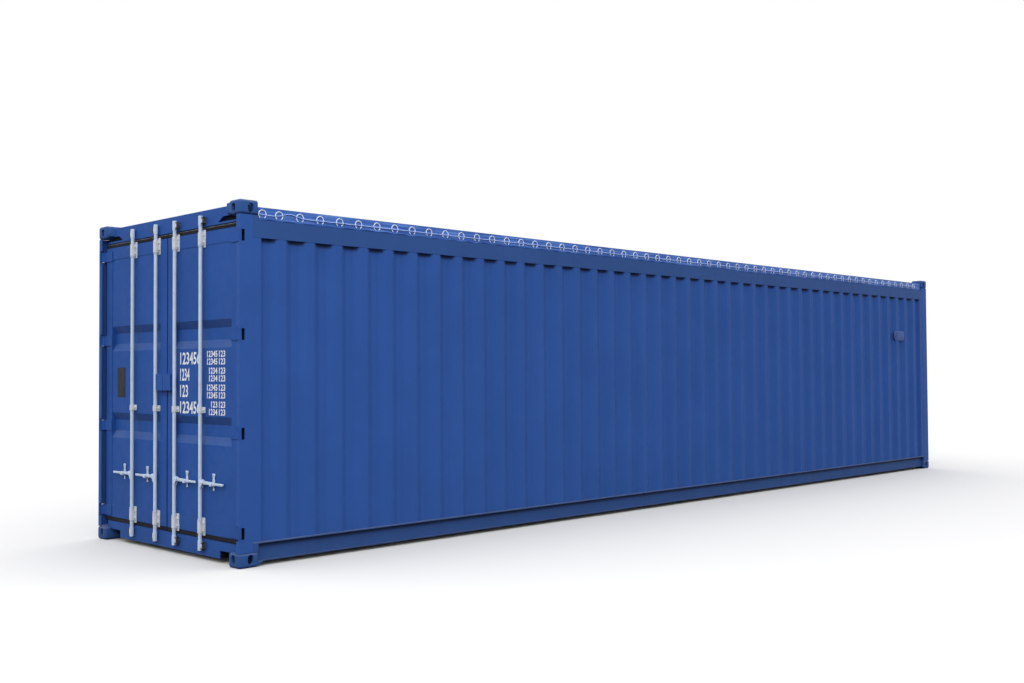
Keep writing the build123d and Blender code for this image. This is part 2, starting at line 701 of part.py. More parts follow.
def cam(z):
    """Collar with a nose that points away from the doors' middle, into its keeper."""
    half = CAM_WIDTH / 2
    nose = along_z(Pos(ROD_X, 0) * area(-half, half, -CAM_REACH, 0), z - CAM_HEIGHT / 2, z + CAM_HEIGHT / 2)
    collar = Pos(ROD_X, 0) * RegularPolygon(ROD_RADIUS + CAM_COLLAR_WALL, 8)
    return nose + along_z(collar, z - CAM_COLLAR_HEIGHT / 2, z + CAM_COLLAR_HEIGHT / 2)


def lock_rod():
    """Rod with a cam at each end and two ears for the handle."""
    rod = along_z(Pos(ROD_X, 0) * Circle(ROD_RADIUS), BOTTOM_CAM_Z, TOP_CAM_Z)
    rod += cam(TOP_CAM_Z)
    rod += cam(BOTTOM_CAM_Z)
    gap = HANDLE_THICKNESS / 2 + HANDLE_SIDE_GAP
    ear = area(-PIVOT_OFFSET - EAR_LAP, 0, HANDLE_Z - EAR_HEIGHT / 2, HANDLE_Z + EAR_HEIGHT / 2)
    rod += along_x(ear, ROD_X - gap - EAR_THICKNESS, ROD_X - gap)
    rod += along_x(ear, ROD_X + gap, ROD_X + gap + EAR_THICKNESS)
    pivot = Pos(-PIVOT_OFFSET, HANDLE_Z) * RegularPolygon(PIVOT_RADIUS, 8)
    return rod + along_x(pivot, ROD_X - gap, ROD_X + gap)


def handle():
    """Flat handle that tapers from its eye on the rod's pivot to the hand's end."""
    half = HANDLE_DEPTH / 2
    tip = half - HANDLE_TAPER
    cut = HANDLE_CORNER
    start, end = -PIVOT_OFFSET, -HANDLE_LENGTH
    bar = outline(
        (start, -half),
        (start, half),
        (end + cut, tip),
        (end, tip - cut),
        (end, cut - half),
        (end + cut, -half),
    )
    bar += Pos(start, 0) * RegularPolygon(HANDLE_EYE, 8)
    bar -= Pos(start, 0) * RegularPolygon(PIVOT_RADIUS + RUNNING_CLEARANCE, 8, major_radius=False)
    return along_x(Pos(0, HANDLE_Z) * bar, ROD_X - HANDLE_THICKNESS / 2, ROD_X + HANDLE_THICKNESS / 2)


def keeper(z):
    """Bracket on the header or the sill, open at the front, that a cam's nose turns into."""
    sweep = (CAM_REACH**2 + (CAM_WIDTH / 2) ** 2) ** 0.5 + KEEPER_CLEARANCE
    outer, inner = -sweep - KEEPER_WALL, -ROD_RADIUS - CAM_COLLAR_WALL - KEEPER_CLEARANCE
    room = CAM_HEIGHT / 2 + KEEPER_CLEARANCE
    high = room + KEEPER_WALL
    section = area(outer, inner, z - high, z + high) - area(-sweep, inner, z - room, z + room)
    return along_x(section, ROD_X - KEEPER_REACH, DOOR_FACE)


def at_rods(pieces):
    """The same pieces at both rods of the right door."""
    return [Pos(0, -offset, 0) * one for offset in (INNER_ROD_OFFSET, OUTER_ROD_OFFSET) for one in pieces]


os.makedirs("parts", exist_ok=True)

bottom_castings = four_corners(corner_casting())
save("corner_castings_bottom", bottom_castings)
save("corner_castings_top", [upside_down(one) for one in bottom_castings])
save("rear_posts", both_sides(rear_post()))
save("front_posts", both_sides(front_post()))
save("bottom_side_rails", both_sides(bottom_side_rail()))
save("top_side_rails", both_sides(top_side_rail()))
save("right_side_wall", [side_wall()])
save("left_side_wall", [other_side(side_wall())])
save("front_wall", [front_wall()])
save("front_sill", [front_sill()])
save("front_top_rail", [front_top_rail()])
save("door_sill", [door_sill()])
save("door_header", [door_header()])
save("floor", [floor_boards()])
save("cross_members", cross_members())
save("roof_bows", roof_bows())
save("tarpaulin", [tarpaulin()])
save("tarpaulin_rings", tarpaulin_rings())
save("tarpaulin_cables", both_sides(tarpaulin_cable()))

lugs = hinge_lugs()
save("hinge_lugs", lugs + [other_side(one) for one in lugs])
keepers = at_rods([keeper(TOP_CAM_Z), keeper(BOTTOM_CAM_Z)])
save("lock_keepers", keepers + [other_side(one) for one in keepers])

right_door = {
    "door_frame": [door_frame()],
    "door_panel": [door_panel()],
    "door_gasket": [door_gasket()],
    "door_hinges": door_hinges(),
    "lock_box": [lock_box()],
    "rod_brackets": at_rods(rod_brackets()),
    "handle_hooks": at_rods([handle_hook()]),
}
for name, pieces in right_door.items():
    save(f"right_{name}", pieces)
    save(f"left_{name}", [other_side(one) for one in pieces])

for place, offset in (("inner", INNER_ROD_OFFSET), ("outer", OUTER_ROD_OFFSET)):
    for name, piece in ((f"{place}_lock_rod", lock_rod()), (f"{place}_handle", handle())):
        piece = Pos(0, -offset, 0) * piece
        save(f"right_{name}", [piece])
        save(f"left_{name}", [other_side(piece)])
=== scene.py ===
"""Dresses the open-top shipping container: paint, lock gear, tarpaulin, plain markings and the stage."""
import json
import math

import bmesh
import bpy
from mathutils import Matrix, Vector


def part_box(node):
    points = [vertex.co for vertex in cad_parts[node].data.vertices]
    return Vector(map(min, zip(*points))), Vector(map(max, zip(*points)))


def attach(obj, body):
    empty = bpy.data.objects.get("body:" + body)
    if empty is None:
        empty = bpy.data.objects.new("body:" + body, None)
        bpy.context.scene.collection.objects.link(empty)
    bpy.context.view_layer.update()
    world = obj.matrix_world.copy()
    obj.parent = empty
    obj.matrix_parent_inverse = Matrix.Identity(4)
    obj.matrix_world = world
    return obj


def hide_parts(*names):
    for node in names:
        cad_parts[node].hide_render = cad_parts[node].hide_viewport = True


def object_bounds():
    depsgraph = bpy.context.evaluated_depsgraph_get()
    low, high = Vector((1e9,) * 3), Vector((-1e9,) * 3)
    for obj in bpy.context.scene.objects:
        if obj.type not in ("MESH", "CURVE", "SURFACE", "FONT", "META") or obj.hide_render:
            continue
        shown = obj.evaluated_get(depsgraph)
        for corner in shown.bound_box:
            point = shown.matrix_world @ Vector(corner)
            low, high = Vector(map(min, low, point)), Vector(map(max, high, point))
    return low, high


bl_info = {
    "name": "Open-top container looks",
    "version": (1, 0, 0),
    "blender": (4, 5, 0),
    "location": "View3D > Sidebar > Container",
    "description": "Paint, tarpaulin, lock gear and stage for an open-top shipping container",
    "category": "Object",
}

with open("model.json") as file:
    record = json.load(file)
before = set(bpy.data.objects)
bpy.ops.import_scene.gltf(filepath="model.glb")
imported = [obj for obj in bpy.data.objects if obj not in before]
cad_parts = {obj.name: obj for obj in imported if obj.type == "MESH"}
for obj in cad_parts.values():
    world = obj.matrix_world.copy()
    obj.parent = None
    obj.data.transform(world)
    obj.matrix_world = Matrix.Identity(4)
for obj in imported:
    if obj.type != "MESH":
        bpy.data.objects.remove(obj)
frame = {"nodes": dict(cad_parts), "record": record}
CAD_LOW, CAD_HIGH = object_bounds()
NODES = frame["nodes"]
JOINTS = {joint["name"]: joint["pos_m"] for joint in frame["record"]["behaviour"]["joints"]}
SIDES = (("right", -1), ("left", 1))
PLACES = ("inner", "outer")

# Boxes and planes of the frame that new pieces sit on, in metres
DOOR_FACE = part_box("right_door_frame")[0].x
PANEL_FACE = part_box("right_door_panel")[0].x
WALL_LOW, WALL_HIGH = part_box("left_side_wall")
FOOT_LOW, FOOT_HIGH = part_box("bottom_side_rails")
TARP_LOW, TARP_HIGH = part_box("tarpaulin")
SKIRT_FACE = TARP_HIGH.y
RAIL_FACE = SKIRT_FACE - 0.0033
RAIL_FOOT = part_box("top_side_rails")[0].z
RAIL_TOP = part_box("top_side_rails")[1].z
BOW_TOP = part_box("roof_bows")[1].z
ROD_X = JOINTS["right_inner_rod_turn"][0]
HANDLE_Z = JOINTS["right_inner_handle_lift"][2]
CASTING_SIZE = (0.178, 0.162, 0.118)
CASTING_INNER = CAD_HIGH.y - CASTING_SIZE[1]

# Share of a bolt head's radius that is left at its top
HEAD_TAPER = 0.82

# Painted shadow under a ledge: the levels between which it comes in, and the depth it lies behind
SIDE_PAINTED_SHADOW = (RAIL_FOOT - 0.040, RAIL_FOOT - 0.018, WALL_HIGH.y - 0.008)
FOOT_PAINTED_SHADOW = (FOOT_HIGH.z - 0.048, FOOT_HIGH.z - 0.022, FOOT_HIGH.y - 0.006)

# Ways to read a flat outline: its two directions and the direction of its thickness
UPRIGHT_ACROSS = Matrix(((0, 0, 1, 0), (1, 0, 0, 0), (0, 1, 0, 0), (0, 0, 0, 1)))
UPRIGHT_ALONG = Matrix(((1, 0, 0, 0), (0, 0, 1, 0), (0, 1, 0, 0), (0, 0, 0, 1)))
LEVEL = Matrix.Identity(4)

# Rings along each side of the tarpaulin
RING_LOW, RING_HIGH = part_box("tarpaulin_rings")
RING_RADIUS = (RING_HIGH.z - RING_LOW.z) / 2
RING_Z = (RING_HIGH.z + RING_LOW.z) / 2
RING_PITCH = 0.200
RING_SECOND = CAD_LOW.x + 0.378
RING_THIRD = CAD_LOW.x + 0.579

# Bows that the tarpaulin lies on
BOW_PITCH = 0.610
BOW_COUNT = 19
FIRST_BOW = (TARP_LOW.x + TARP_HIGH.x - (BOW_COUNT - 1) * BOW_PITCH) / 2

# Camera of the photograph
CAMERA_PLACE = (-10.827, -8.892, 1.525)
CAMERA_YAW = 44.69
CAMERA_PITCH = 1.54
CAMERA_ROLL = -0.33
CAMERA_LENS = 39.48

# Tones of dirt and wear, and of painted shade and painted shadow
RAIN_TONE = (0.020, 0.050, 0.170)
GRIME_TONE = (0.030, 0.048, 0.105)
DUST_TONE = (0.150, 0.165, 0.140)
# Painted shade on faces that look down
PAINTED_SHADE_TONE = (0.014, 0.018, 0.050)
# Painted shadow under ledges
PAINTED_SHADOW_TONE = (0.010, 0.012, 0.032)
BLOOM_TONE = (0.36, 0.35, 0.36)


class ContainerLooks(bpy.types.PropertyGroup):
    """Sizes and colours of the container's finish."""

    wall_colour: bpy.props.FloatVectorProperty(
        name="Wall paint", description="Colour of the walls and the posts",
        default=(0.026, 0.083, 0.308), subtype="COLOR", min=0, max=1)
    door_colour: bpy.props.FloatVectorProperty(
        name="Door paint", description="Colour of the doors, the header and the sill",
        default=(0.018, 0.074, 0.296), subtype="COLOR", min=0, max=1)
    rail_colour: bpy.props.FloatVectorProperty(
        name="Rail paint", description="Colour of the long rails at the top and the bottom",
        default=(0.027, 0.075, 0.245), subtype="COLOR", min=0, max=1)
    casting_colour: bpy.props.FloatVectorProperty(
        name="Casting paint", description="Colour of the corner castings",
        default=(0.026, 0.077, 0.246), subtype="COLOR", min=0, max=1)
    tarp_colour: bpy.props.FloatVectorProperty(
        name="Tarpaulin", description="Colour of the coated cloth",
        default=(0.036, 0.118, 0.420), subtype="COLOR", min=0, max=1)
    steel_colour: bpy.props.FloatVectorProperty(
        name="Galvanised steel", description="Colour of the lock rods and their gear",
        default=(0.45, 0.55, 0.70), subtype="COLOR", min=0, max=1)
    ledge_colour: bpy.props.FloatVectorProperty(
        name="Dusty lip", description="Colour of the worn, dusty lip along the foot of the side walls",
        default=(0.085, 0.125, 0.260), subtype="COLOR", min=0, max=1)
    vent_colour: bpy.props.FloatVectorProperty(
        name="Vent paint", description="Colour of the small air vent on the right wall",
        default=(0.034, 0.076, 0.245), subtype="COLOR", min=0, max=1)
    tarp_thickness: bpy.props.FloatProperty(
        name="Tarpaulin thickness", description="Thickness of the coated cloth",
        default=0.0015, unit="LENGTH", min=0.0005)
    tarp_sag: bpy.props.FloatProperty(
        name="Tarpaulin sag", description="How far the cloth sinks between two bows",
        default=0.014, unit="LENGTH", min=0)
    hem_wave: bpy.props.FloatProperty(
        name="Hem wave", description="How far the hem rises and falls between two rings",
        default=0.007, unit="LENGTH", min=0)
    ring_bar: bpy.props.FloatProperty(
        name="Ring bar", description="Radius of the bar that a ring is bent from",
        default=0.0042, unit="LENGTH", min=0.001)
    cable_radius: bpy.props.FloatProperty(
        name="Cable radius", description="Radius of the cable that is threaded through the rings",
        default=0.0035, unit="LENGTH", min=0.001)
    bolt_radius: bpy.props.FloatProperty(
        name="Bolt radius", description="Radius of a bolt's head on the lock gear",
        default=0.010, unit="LENGTH", min=0.001)
    key_power: bpy.props.FloatProperty(
        name="Key light", description="Power of the soft light beside the doors",
        default=300.0, unit="POWER", min=0)
    sky_level: bpy.props.FloatProperty(
        name="Sky level", description="Strength of the even light from all round",
        default=1.5, min=0)


def looks():
    return bpy.context.scene.container_looks


# Shader nodes

def group_tree(name, inputs, outputs):
    """A shader node group with its sockets, its input and its output node."""
    tree = bpy.data.node_groups.new(name, "ShaderNodeTree")
    for way, sockets in (("INPUT", inputs), ("OUTPUT", outputs)):
        for label in sockets:
            kind = "NodeSocketColor" if label == "Colour" else "NodeSocketFloat"
            tree.interface.new_socket(label, in_out=way, socket_type=kind)
    return tree, tree.nodes.new("NodeGroupInput").outputs, tree.nodes.new("NodeGroupOutput").inputs


def feed(tree, socket, value):
    """Links a socket to another one, or sets it to a number, a vector or a colour."""
    if isinstance(value, bpy.types.NodeSocket):
        tree.links.new(value, socket)
    elif socket.type == "RGBA":
        socket.default_value = (*value, 1.0)
    else:
        socket.default_value = value


def add_node(tree, kind, **values):
    """A node with its sockets fed by name; an underscore in a name stands for a space."""
    node = tree.nodes.new(kind)
    for label, value in values.items():
        feed(tree, node.inputs[label.replace("_", " ")], value)
    return node


def noise(tree, vector, scale, detail):
    node = add_node(tree, "ShaderNodeTexNoise", Vector=vector, Scale=scale, Detail=detail, Roughness=0.55)
    return node.outputs["Fac"]


def stretched(tree, vector, scale):
    """Coordinates with their own scale on each axis."""
    return add_node(tree, "ShaderNodeMapping", Vector=vector, Scale=scale).outputs["Vector"]


def map_range(tree, value, low, high, to_low, to_high):
    node = add_node(tree, "ShaderNodeMapRange", Value=value, From_Min=low, From_Max=high, To_Min=to_low,
                    To_Max=to_high)
    return node.outputs["Result"]


def math_node(tree, kind, first, second=0.0):
    node = tree.nodes.new("ShaderNodeMath")
    node.operation = kind
    feed(tree, node.inputs[0], first)
    feed(tree, node.inputs[1], second)
    return node.outputs["Value"]


def product(tree, first, *others):
    for other in others:
        first = math_node(tree, "MULTIPLY", first, other)
    return first


def mix_colour(tree, share, first, second, blend="MIX"):
    node = tree.nodes.new("ShaderNodeMix")
    node.data_type = "RGBA"
    node.blend_type = blend
    for index, value in ((0, share), (6, first), (7, second)):
        feed(tree, node.inputs[index], value)
    return node.outputs[2]


def shaded(tree, colour, factor):
    """A colour times a number."""
    grey = add_node(tree, "ShaderNodeCombineColor", Red=factor, Green=factor, Blue=factor)
    return mix_colour(tree, 1.0, colour, grey.outputs[0], "MULTIPLY")


def coordinates(tree, kind="Object"):
    return tree.nodes.new("ShaderNodeTexCoord").outputs[kind]


def part_of(tree, vector, axis):
    """One axis of a vector."""
    return add_node(tree, "ShaderNodeSeparateXYZ", Vector=vector).outputs[axis]


def off_middle(tree, vector):
    """How far a point lies from the container's middle, across."""
    return math_node(tree, "ABSOLUTE", part_of(tree, vector, "Y"))


def seen_directly(tree):
    """1 for what is seen straight, in a reflection or through something clear, 0 for light that bounces."""
    rays = tree.nodes.new("ShaderNodeLightPath").outputs
    seen = math_node(tree, "MAXIMUM", rays["Is Camera Ray"], rays["Is Glossy Ray"])
    return math_node(tree, "MAXIMUM", seen, rays["Is Transmission Ray"])


# Materials

def weathered_and_shaded_paint_group():
    """Paint that is mottled, streaked by rain, dusty on ledges, grimy near the ground, with painted shade on
    faces that look down.
    """
    tree, given, out = group_tree("Weathered paint", ("Colour", "Dust", "Grime", "Streaks"),
                                  ("Colour", "Roughness", "Height"))
    place = coordinates(tree)
    mottle = map_range(tree, noise(tree, place, 1.7, 5.0), 0.3, 0.7, 0.94, 1.06)
    rain = noise(tree, stretched(tree, place, (9.0, 9.0, 0.45)), 1.0, 4.0)
    rain = product(tree, map_range(tree, rain, 0.52, 0.75, 0.0, 1.0), given["Streaks"])
    patches = map_range(tree, noise(tree, place, 6.0, 6.0), 0.35, 0.75, 0.35, 1.0)
    low = map_range(tree, part_of(tree, place, "Z"), 0.05, 0.95, 1.0, 0.0)
    grime = product(tree, low, patches, given["Grime"])
    facing_up = part_of(tree, coordinates(tree, "Normal"), "Z")
    dust = product(tree, map_range(tree, facing_up, 0.22, 0.45, 0.0, 1.0), patches, given["Dust"])
    # Painted shade: faces that look down are painted darker
    painted_shade = map_range(tree, facing_up, -0.40, -0.15, 0.30, 0.0)
    colour = shaded(tree, given["Colour"], mottle)
    for share, tone in ((rain, RAIN_TONE), (grime, GRIME_TONE), (dust, DUST_TONE), (painted_shade, PAINTED_SHADE_TONE)):
        colour = mix_colour(tree, share, colour, tone)
    rough = map_range(tree, noise(tree, place, 14.0, 4.0), 0.3, 0.7, 0.46, 0.62)
    feed(tree, out["Colour"], colour)
    feed(tree, out["Roughness"], math_node(tree, "ADD", rough, product(tree, dust, 0.2)))
    feed(tree, out["Height"], noise(tree, place, 260.0, 2.0))
    return tree


def spangle_group():
    """Zinc crystals with a little dull bloom."""
    tree, given, out = group_tree("Zinc spangle", ("Colour", "Bloom"), ("Colour", "Roughness", "Height"))
    place = coordinates(tree)
    cells = add_node(tree, "ShaderNodeTexVoronoi", Vector=place, Scale=110.0).outputs["Distance"]
    colour = shaded(tree, given["Colour"], map_range(tree, cells, 0.0, 0.7, 0.94, 1.04))
    bloom = product(tree, map_range(tree, noise(tree, place, 22.0, 6.0), 0.5, 0.75, 0.0, 1.0), given["Bloom"])
    feed(tree, out["Colour"], mix_colour(tree, bloom, colour, BLOOM_TONE))
    feed(tree, out["Roughness"], map_range(tree, bloom, 0.0, 1.0, 0.40, 0.66))
    feed(tree, out["Height"], cells)
    return tree


def new_material(name):
    material = bpy.data.materials.new(name)
    material.use_nodes = True
    tree = material.node_tree
    return material, tree, tree.nodes["Principled BSDF"]


def set_surface(tree, shader, colour, roughness, gloss):
    for label, value in (("Base Color", colour), ("Roughness", roughness), ("Specular IOR Level", gloss)):
        feed(tree, shader.inputs[label], value)


def bump(tree, height, shader, strength, distance):
    node = add_node(tree, "ShaderNodeBump", Height=height, Strength=strength, Distance=distance)
    feed(tree, shader.inputs["Normal"], node.outputs["Normal"])


def finished(name, group, values, bump_strength, bump_distance, gloss):
    """A material whose colour, roughness and bump come from a shared group."""
    material, tree, shader = new_material(name)
    node = tree.nodes.new("ShaderNodeGroup")
    node.node_tree = group
    for label, value in values.items():
        feed(tree, node.inputs[label], value)
    set_surface(tree, shader, node.outputs["Colour"], node.outputs["Roughness"], gloss)
    bump(tree, node.outputs["Height"], shader, bump_strength, bump_distance)
    return material


def paint(name, group, colour, dust, grime, streaks):
    values = {"Colour": colour, "Dust": dust, "Grime": grime, "Streaks": streaks}
    return finished(name, group, values, 0.15, 0.0006, 0.07)


def add_painted_shadow(material, low, high, depth):
    """Puts painted shadow in the corner under a ledge, behind a depth from the middle."""
    tree = material.node_tree
    base = tree.nodes["Principled BSDF"].inputs["Base Color"]
    unshadowed = base.links[0].from_socket
    place = coordinates(tree)
    inside = map_range(tree, off_middle(tree, place), depth - 0.010, depth, 1.0, 0.0)
    under = map_range(tree, part_of(tree, place, "Z"), low, high, 0.0, 0.85)
    feed(tree, base, mix_colour(tree, product(tree, inside, under), unshadowed, PAINTED_SHADOW_TONE))


def two_tone(name, scale, first, second, roughness, gloss):
    """A plain finish that is blotched between two tones."""
    material, tree, shader = new_material(name)
    place = coordinates(tree)
    blotch = map_range(tree, noise(tree, place, scale, 6.0), 0.35, 0.7, 0.0, 1.0)
    rough = map_range(tree, blotch, 0.0, 1.0, *roughness)
    set_surface(tree, shader, mix_colour(tree, blotch, first, second), rough, gloss)
    bump(tree, noise(tree, place, scale * 12.0, 2.0), shader, 0.15, 0.0006)
    return material


def rubber_material():
    """Black rubber with a grey bloom and a fine grain."""
    material, tree, shader = new_material("gasket_rubber")
    place = coordinates(tree)
    grey = map_range(tree, noise(tree, place, 30.0, 5.0), 0.35, 0.8, 0.0, 1.0)
    tone = mix_colour(tree, grey, (0.007, 0.008, 0.013), (0.022, 0.022, 0.030))
    set_surface(tree, shader, tone, map_range(tree, grey, 0.0, 1.0, 0.55, 0.8), 0.12)
    bump(tree, noise(tree, place, 400.0, 2.0), shader, 0.2, 0.0005)
    return material


def tarpaulin_material(colour):
    """Coated cloth: long folds in the skirt with painted highlight and painted shade in bands along them, a
    calmer top that is worn over the bows, and a fine scrim.
    """
    material, tree, shader = new_material("tarpaulin_cloth")
    place = coordinates(tree)
    skirt = map_range(tree, off_middle(tree, place), RAIL_FACE - 0.030, RAIL_FACE - 0.005, 0.15, 1.0)
    folds = noise(tree, stretched(tree, place, (2.2, 9.0, 55.0)), 1.0, 4.0)
    rubbed = map_range(tree, noise(tree, place, 6.0, 6.0), 0.42, 0.75, 0.0, 0.55)
    # Painted shade and painted highlight in bands along the folds of the skirt
    fold_painted_shade = product(tree, skirt, map_range(tree, folds, 0.50, 0.62, 0.0, 0.75))
    fold_painted_highlight = product(tree, skirt, map_range(tree, folds, 0.46, 0.36, 0.0, 0.60))
    past_bow = math_node(tree, "SUBTRACT", part_of(tree, place, "X"), FIRST_BOW)
    from_bow = math_node(tree, "PINGPONG", past_bow, BOW_PITCH / 2)
    worn = product(tree, map_range(tree, from_bow, 0.008, 0.040, 0.30, 0.0),
                   map_range(tree, noise(tree, place, 9.0, 5.0), 0.35, 0.65, 0.3, 1.0),
                   map_range(tree, skirt, 0.15, 0.4, 1.0, 0.0))
    tone = mix_colour(tree, product(tree, skirt, rubbed), colour, (0.085, 0.185, 0.520))
    tone = mix_colour(tree, fold_painted_shade, tone, (0.022, 0.085, 0.370))
    tone = mix_colour(tree, fold_painted_highlight, tone, (0.120, 0.250, 0.680))
    tone = mix_colour(tree, worn, tone, (0.160, 0.260, 0.560))
    set_surface(tree, shader, tone, map_range(tree, rubbed, 0.0, 0.55, 0.40, 0.55), 0.2)
    scrim = add_node(tree, "ShaderNodeTexBrick", Vector=place, Scale=260.0)
    scrim.offset = 0.0
    weave = product(tree, scrim.outputs["Fac"], 0.12)
    bump(tree, math_node(tree, "ADD", weave, product(tree, folds, skirt)), shader, 0.4, 0.004)
    return material


def plywood_material():
    """Floor boards with joints across the container and long grain."""
    material, tree, shader = new_material("plywood")
    place = coordinates(tree)
    grain = noise(tree, stretched(tree, place, (1.2, 22.0, 22.0)), 1.0, 7.0)
    shades = map_range(tree, grain, 0.3, 0.7, 0.0, 1.0)
    tone = mix_colour(tree, shades, (0.20, 0.10, 0.045), (0.42, 0.25, 0.12))
    joints = add_node(tree, "ShaderNodeTexBrick", Vector=place, Scale=1.0, Mortar_Size=0.0025,
                      Brick_Width=2.4, Row_Height=1.16)
    tone = mix_colour(tree, joints.outputs["Fac"], tone, (0.03, 0.02, 0.015))
    set_surface(tree, shader, tone, map_range(tree, grain, 0.3, 0.7, 0.5, 0.7), 0.5)
    bump(tree, grain, shader, 0.3, 0.001)
    return material


def marking_material():
    """White stencil paint, thin in places."""
    material, tree, shader = new_material("stencil_white")
    thin = map_range(tree, noise(tree, coordinates(tree), 45.0, 6.0), 0.5, 0.8, 0.0, 0.6)
    set_surface(tree, shader, mix_colour(tree, thin, (0.72, 0.74, 0.78), (0.20, 0.28, 0.50)), 0.6, 0.5)
    return material


def build_materials():
    """All finishes by name."""
    own = looks()
    # Colour, dust, grime and streaks
    paints = {
        "wall": (own.wall_colour, 0.20, 0.12, 0.10),
        "side": (own.wall_colour, 0.20, 0.12, 0.10),
        "rail": (own.rail_colour, 0.30, 0.35, 0.20),
        "foot": (own.rail_colour, 0.70, 0.30, 0.20),
        "ledge": (own.ledge_colour, 0.40, 0.20, 0.20),
        "door": (own.door_colour, 0.28, 0.30, 0.12),
        "casting": (own.casting_colour, 0.35, 0.20, 0.30),
    }
    # Name, colour, bloom, strength and depth of the bump, and gloss
    zincs = {
        "steel": ("galvanised_steel", own.steel_colour, 0.35, 0.12, 0.0004, 0.3),
        "bright": ("bright_zinc", (0.70, 0.76, 0.86), 0.15, 0.1, 0.0004, 0.5),
        "cast": ("cast_zinc", (0.54, 0.57, 0.62), 0.7, 0.2, 0.0006, 0.3),
        "cable": ("cable_coat", (0.34, 0.48, 0.88), 0.1, 0.1, 0.0004, 0.5),
    }
    # Name, scale of the blotches, the two tones with their roughness, and gloss
    blotched = {
        # Keepers: a near-black tone that is partly grease and partly painted shade
        "greased": ("greased_steel", 60.0, (0.018, 0.022, 0.034), (0.075, 0.082, 0.100), (0.35, 0.6), 0.3),
        # Near-black sheets in the pockets of the beams: painted shade
        "hollow": ("dark_hollow", 18.0, (0.006, 0.007, 0.012), (0.016, 0.018, 0.030), (0.7, 0.9), 0.05),
        # Metal strip over the doors: its pale tone is partly the metal and partly a painted highlight
        "strip": ("gasket_strip", 14.0, (0.060, 0.055, 0.062), (0.200, 0.205, 0.250), (0.4, 0.6), 0.3),
        "plate": ("bare_plate", 26.0, (0.014, 0.020, 0.042), (0.044, 0.045, 0.046), (0.5, 0.7), 0.08),
        "vent": ("vent_paint", 9.0, own.vent_colour, (0.090, 0.142, 0.335), (0.5, 0.7), 0.07),
    }
    coat, zinc = weathered_and_shaded_paint_group(), spangle_group()
    made = {name: paint(f"{name}_paint", coat, *values) for name, values in paints.items()}
    # Painted shadow on the side walls under the top rails, and on the bottom rails under their flange
    add_painted_shadow(made["side"], *SIDE_PAINTED_SHADOW)
    add_painted_shadow(made["foot"], *FOOT_PAINTED_SHADOW)
    for finish, (name, colour, bloom, *surface) in zincs.items():
        made[finish] = finished(name, zinc, {"Colour": colour, "Bloom": bloom}, *surface)
    for finish, values in blotched.items():
        made[finish] = two_tone(*values)
    made["rubber"] = rubber_material()
    made["tarp"] = tarpaulin_material(own.tarp_colour)
    made["plywood"] = plywood_material()
    made["marking"] = marking_material()
    return made


MATERIALS = {}


# Mesh helpers

def add_object(name, data):
    """A new object in the scene."""
    made = bpy.data.objects.new(name, data)
    bpy.context.scene.collection.objects.link(made)
    return made


def mesh_from(name, shape):
    """A mesh that takes over a bmesh."""
    mesh = bpy.data.meshes.new(name)
    shape.to_mesh(mesh)
    shape.free()
    return mesh


def evaluated_mesh(holder):
    """The mesh that an object's curve, text or modifiers give."""
    bpy.context.view_layer.update()
    return bpy.data.meshes.new_from_object(holder.evaluated_get(bpy.context.evaluated_depsgraph_get()))


def add_mesh(shape, mesh):
    """Moves a mesh into a bmesh."""
    shape.from_mesh(mesh)
    bpy.data.meshes.remove(mesh)


def finish_piece(name, shape, finish, body, replaced=(), smooth_below=40.0):
    """Makes a piece that rides on a body and may stand for CAD nodes; flatter folds are shaded smooth."""
    mesh = mesh_from(name, shape)
    if smooth_below:
        mesh.shade_smooth()
        mesh.set_sharp_from_angle(angle=math.radians(smooth_below))
    mesh.materials.append(MATERIALS[finish])
    piece = add_object(name, mesh)
    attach(piece, body)
    if replaced:
        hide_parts(*replaced)
    return piece


def weld(shape):
    """Joins points that meet and turns the faces outwards."""
    bmesh.ops.remove_doubles(shape, verts=shape.verts[:], dist=0.00002)
    bmesh.ops.recalc_face_normals(shape, faces=shape.faces[:])


def add_block(shape, first, second, edge=0.0, segments=2):
    """Adds a box with bevelled edges between two opposite corners."""
    first, second = Vector(first), Vector(second)
    size = [abs(reach) for reach in second - first]
    place = Matrix.Translation((first + second) / 2) @ Matrix.Diagonal((*size, 1.0))
    made = bmesh.ops.create_cube(shape, size=1.0, matrix=place)
    if edge:
        edges = {e for v in made["verts"] for e in v.link_edges}
        bmesh.ops.bevel(shape, geom=list(edges), offset=edge, offset_type="OFFSET", affect="EDGES",
                        segments=segments, profile=0.5, material=-1)


def add_bolt(shape, seat, radius, height, sides=6):
    """Adds a bolt's head that stands out from its seat towards low X."""
    middle = Vector(seat) - Vector((height / 2, 0, 0))
    turn = Matrix.Translation(middle) @ Matrix.Rotation(-math.pi / 2, 4, "Y")
    bmesh.ops.create_cone(shape, cap_ends=True, segments=sides, radius1=radius, radius2=radius * HEAD_TAPER,
                          depth=height, matrix=turn)


def rectangle(a, b, width, height):
    """The corners of a rectangle about its middle."""
    reach_a, reach_b = width / 2, height / 2
    return [(a - reach_a, b - reach_b), (a + reach_a, b - reach_b), (a + reach_a, b + reach_b),
            (a - reach_a, b + reach_b)]


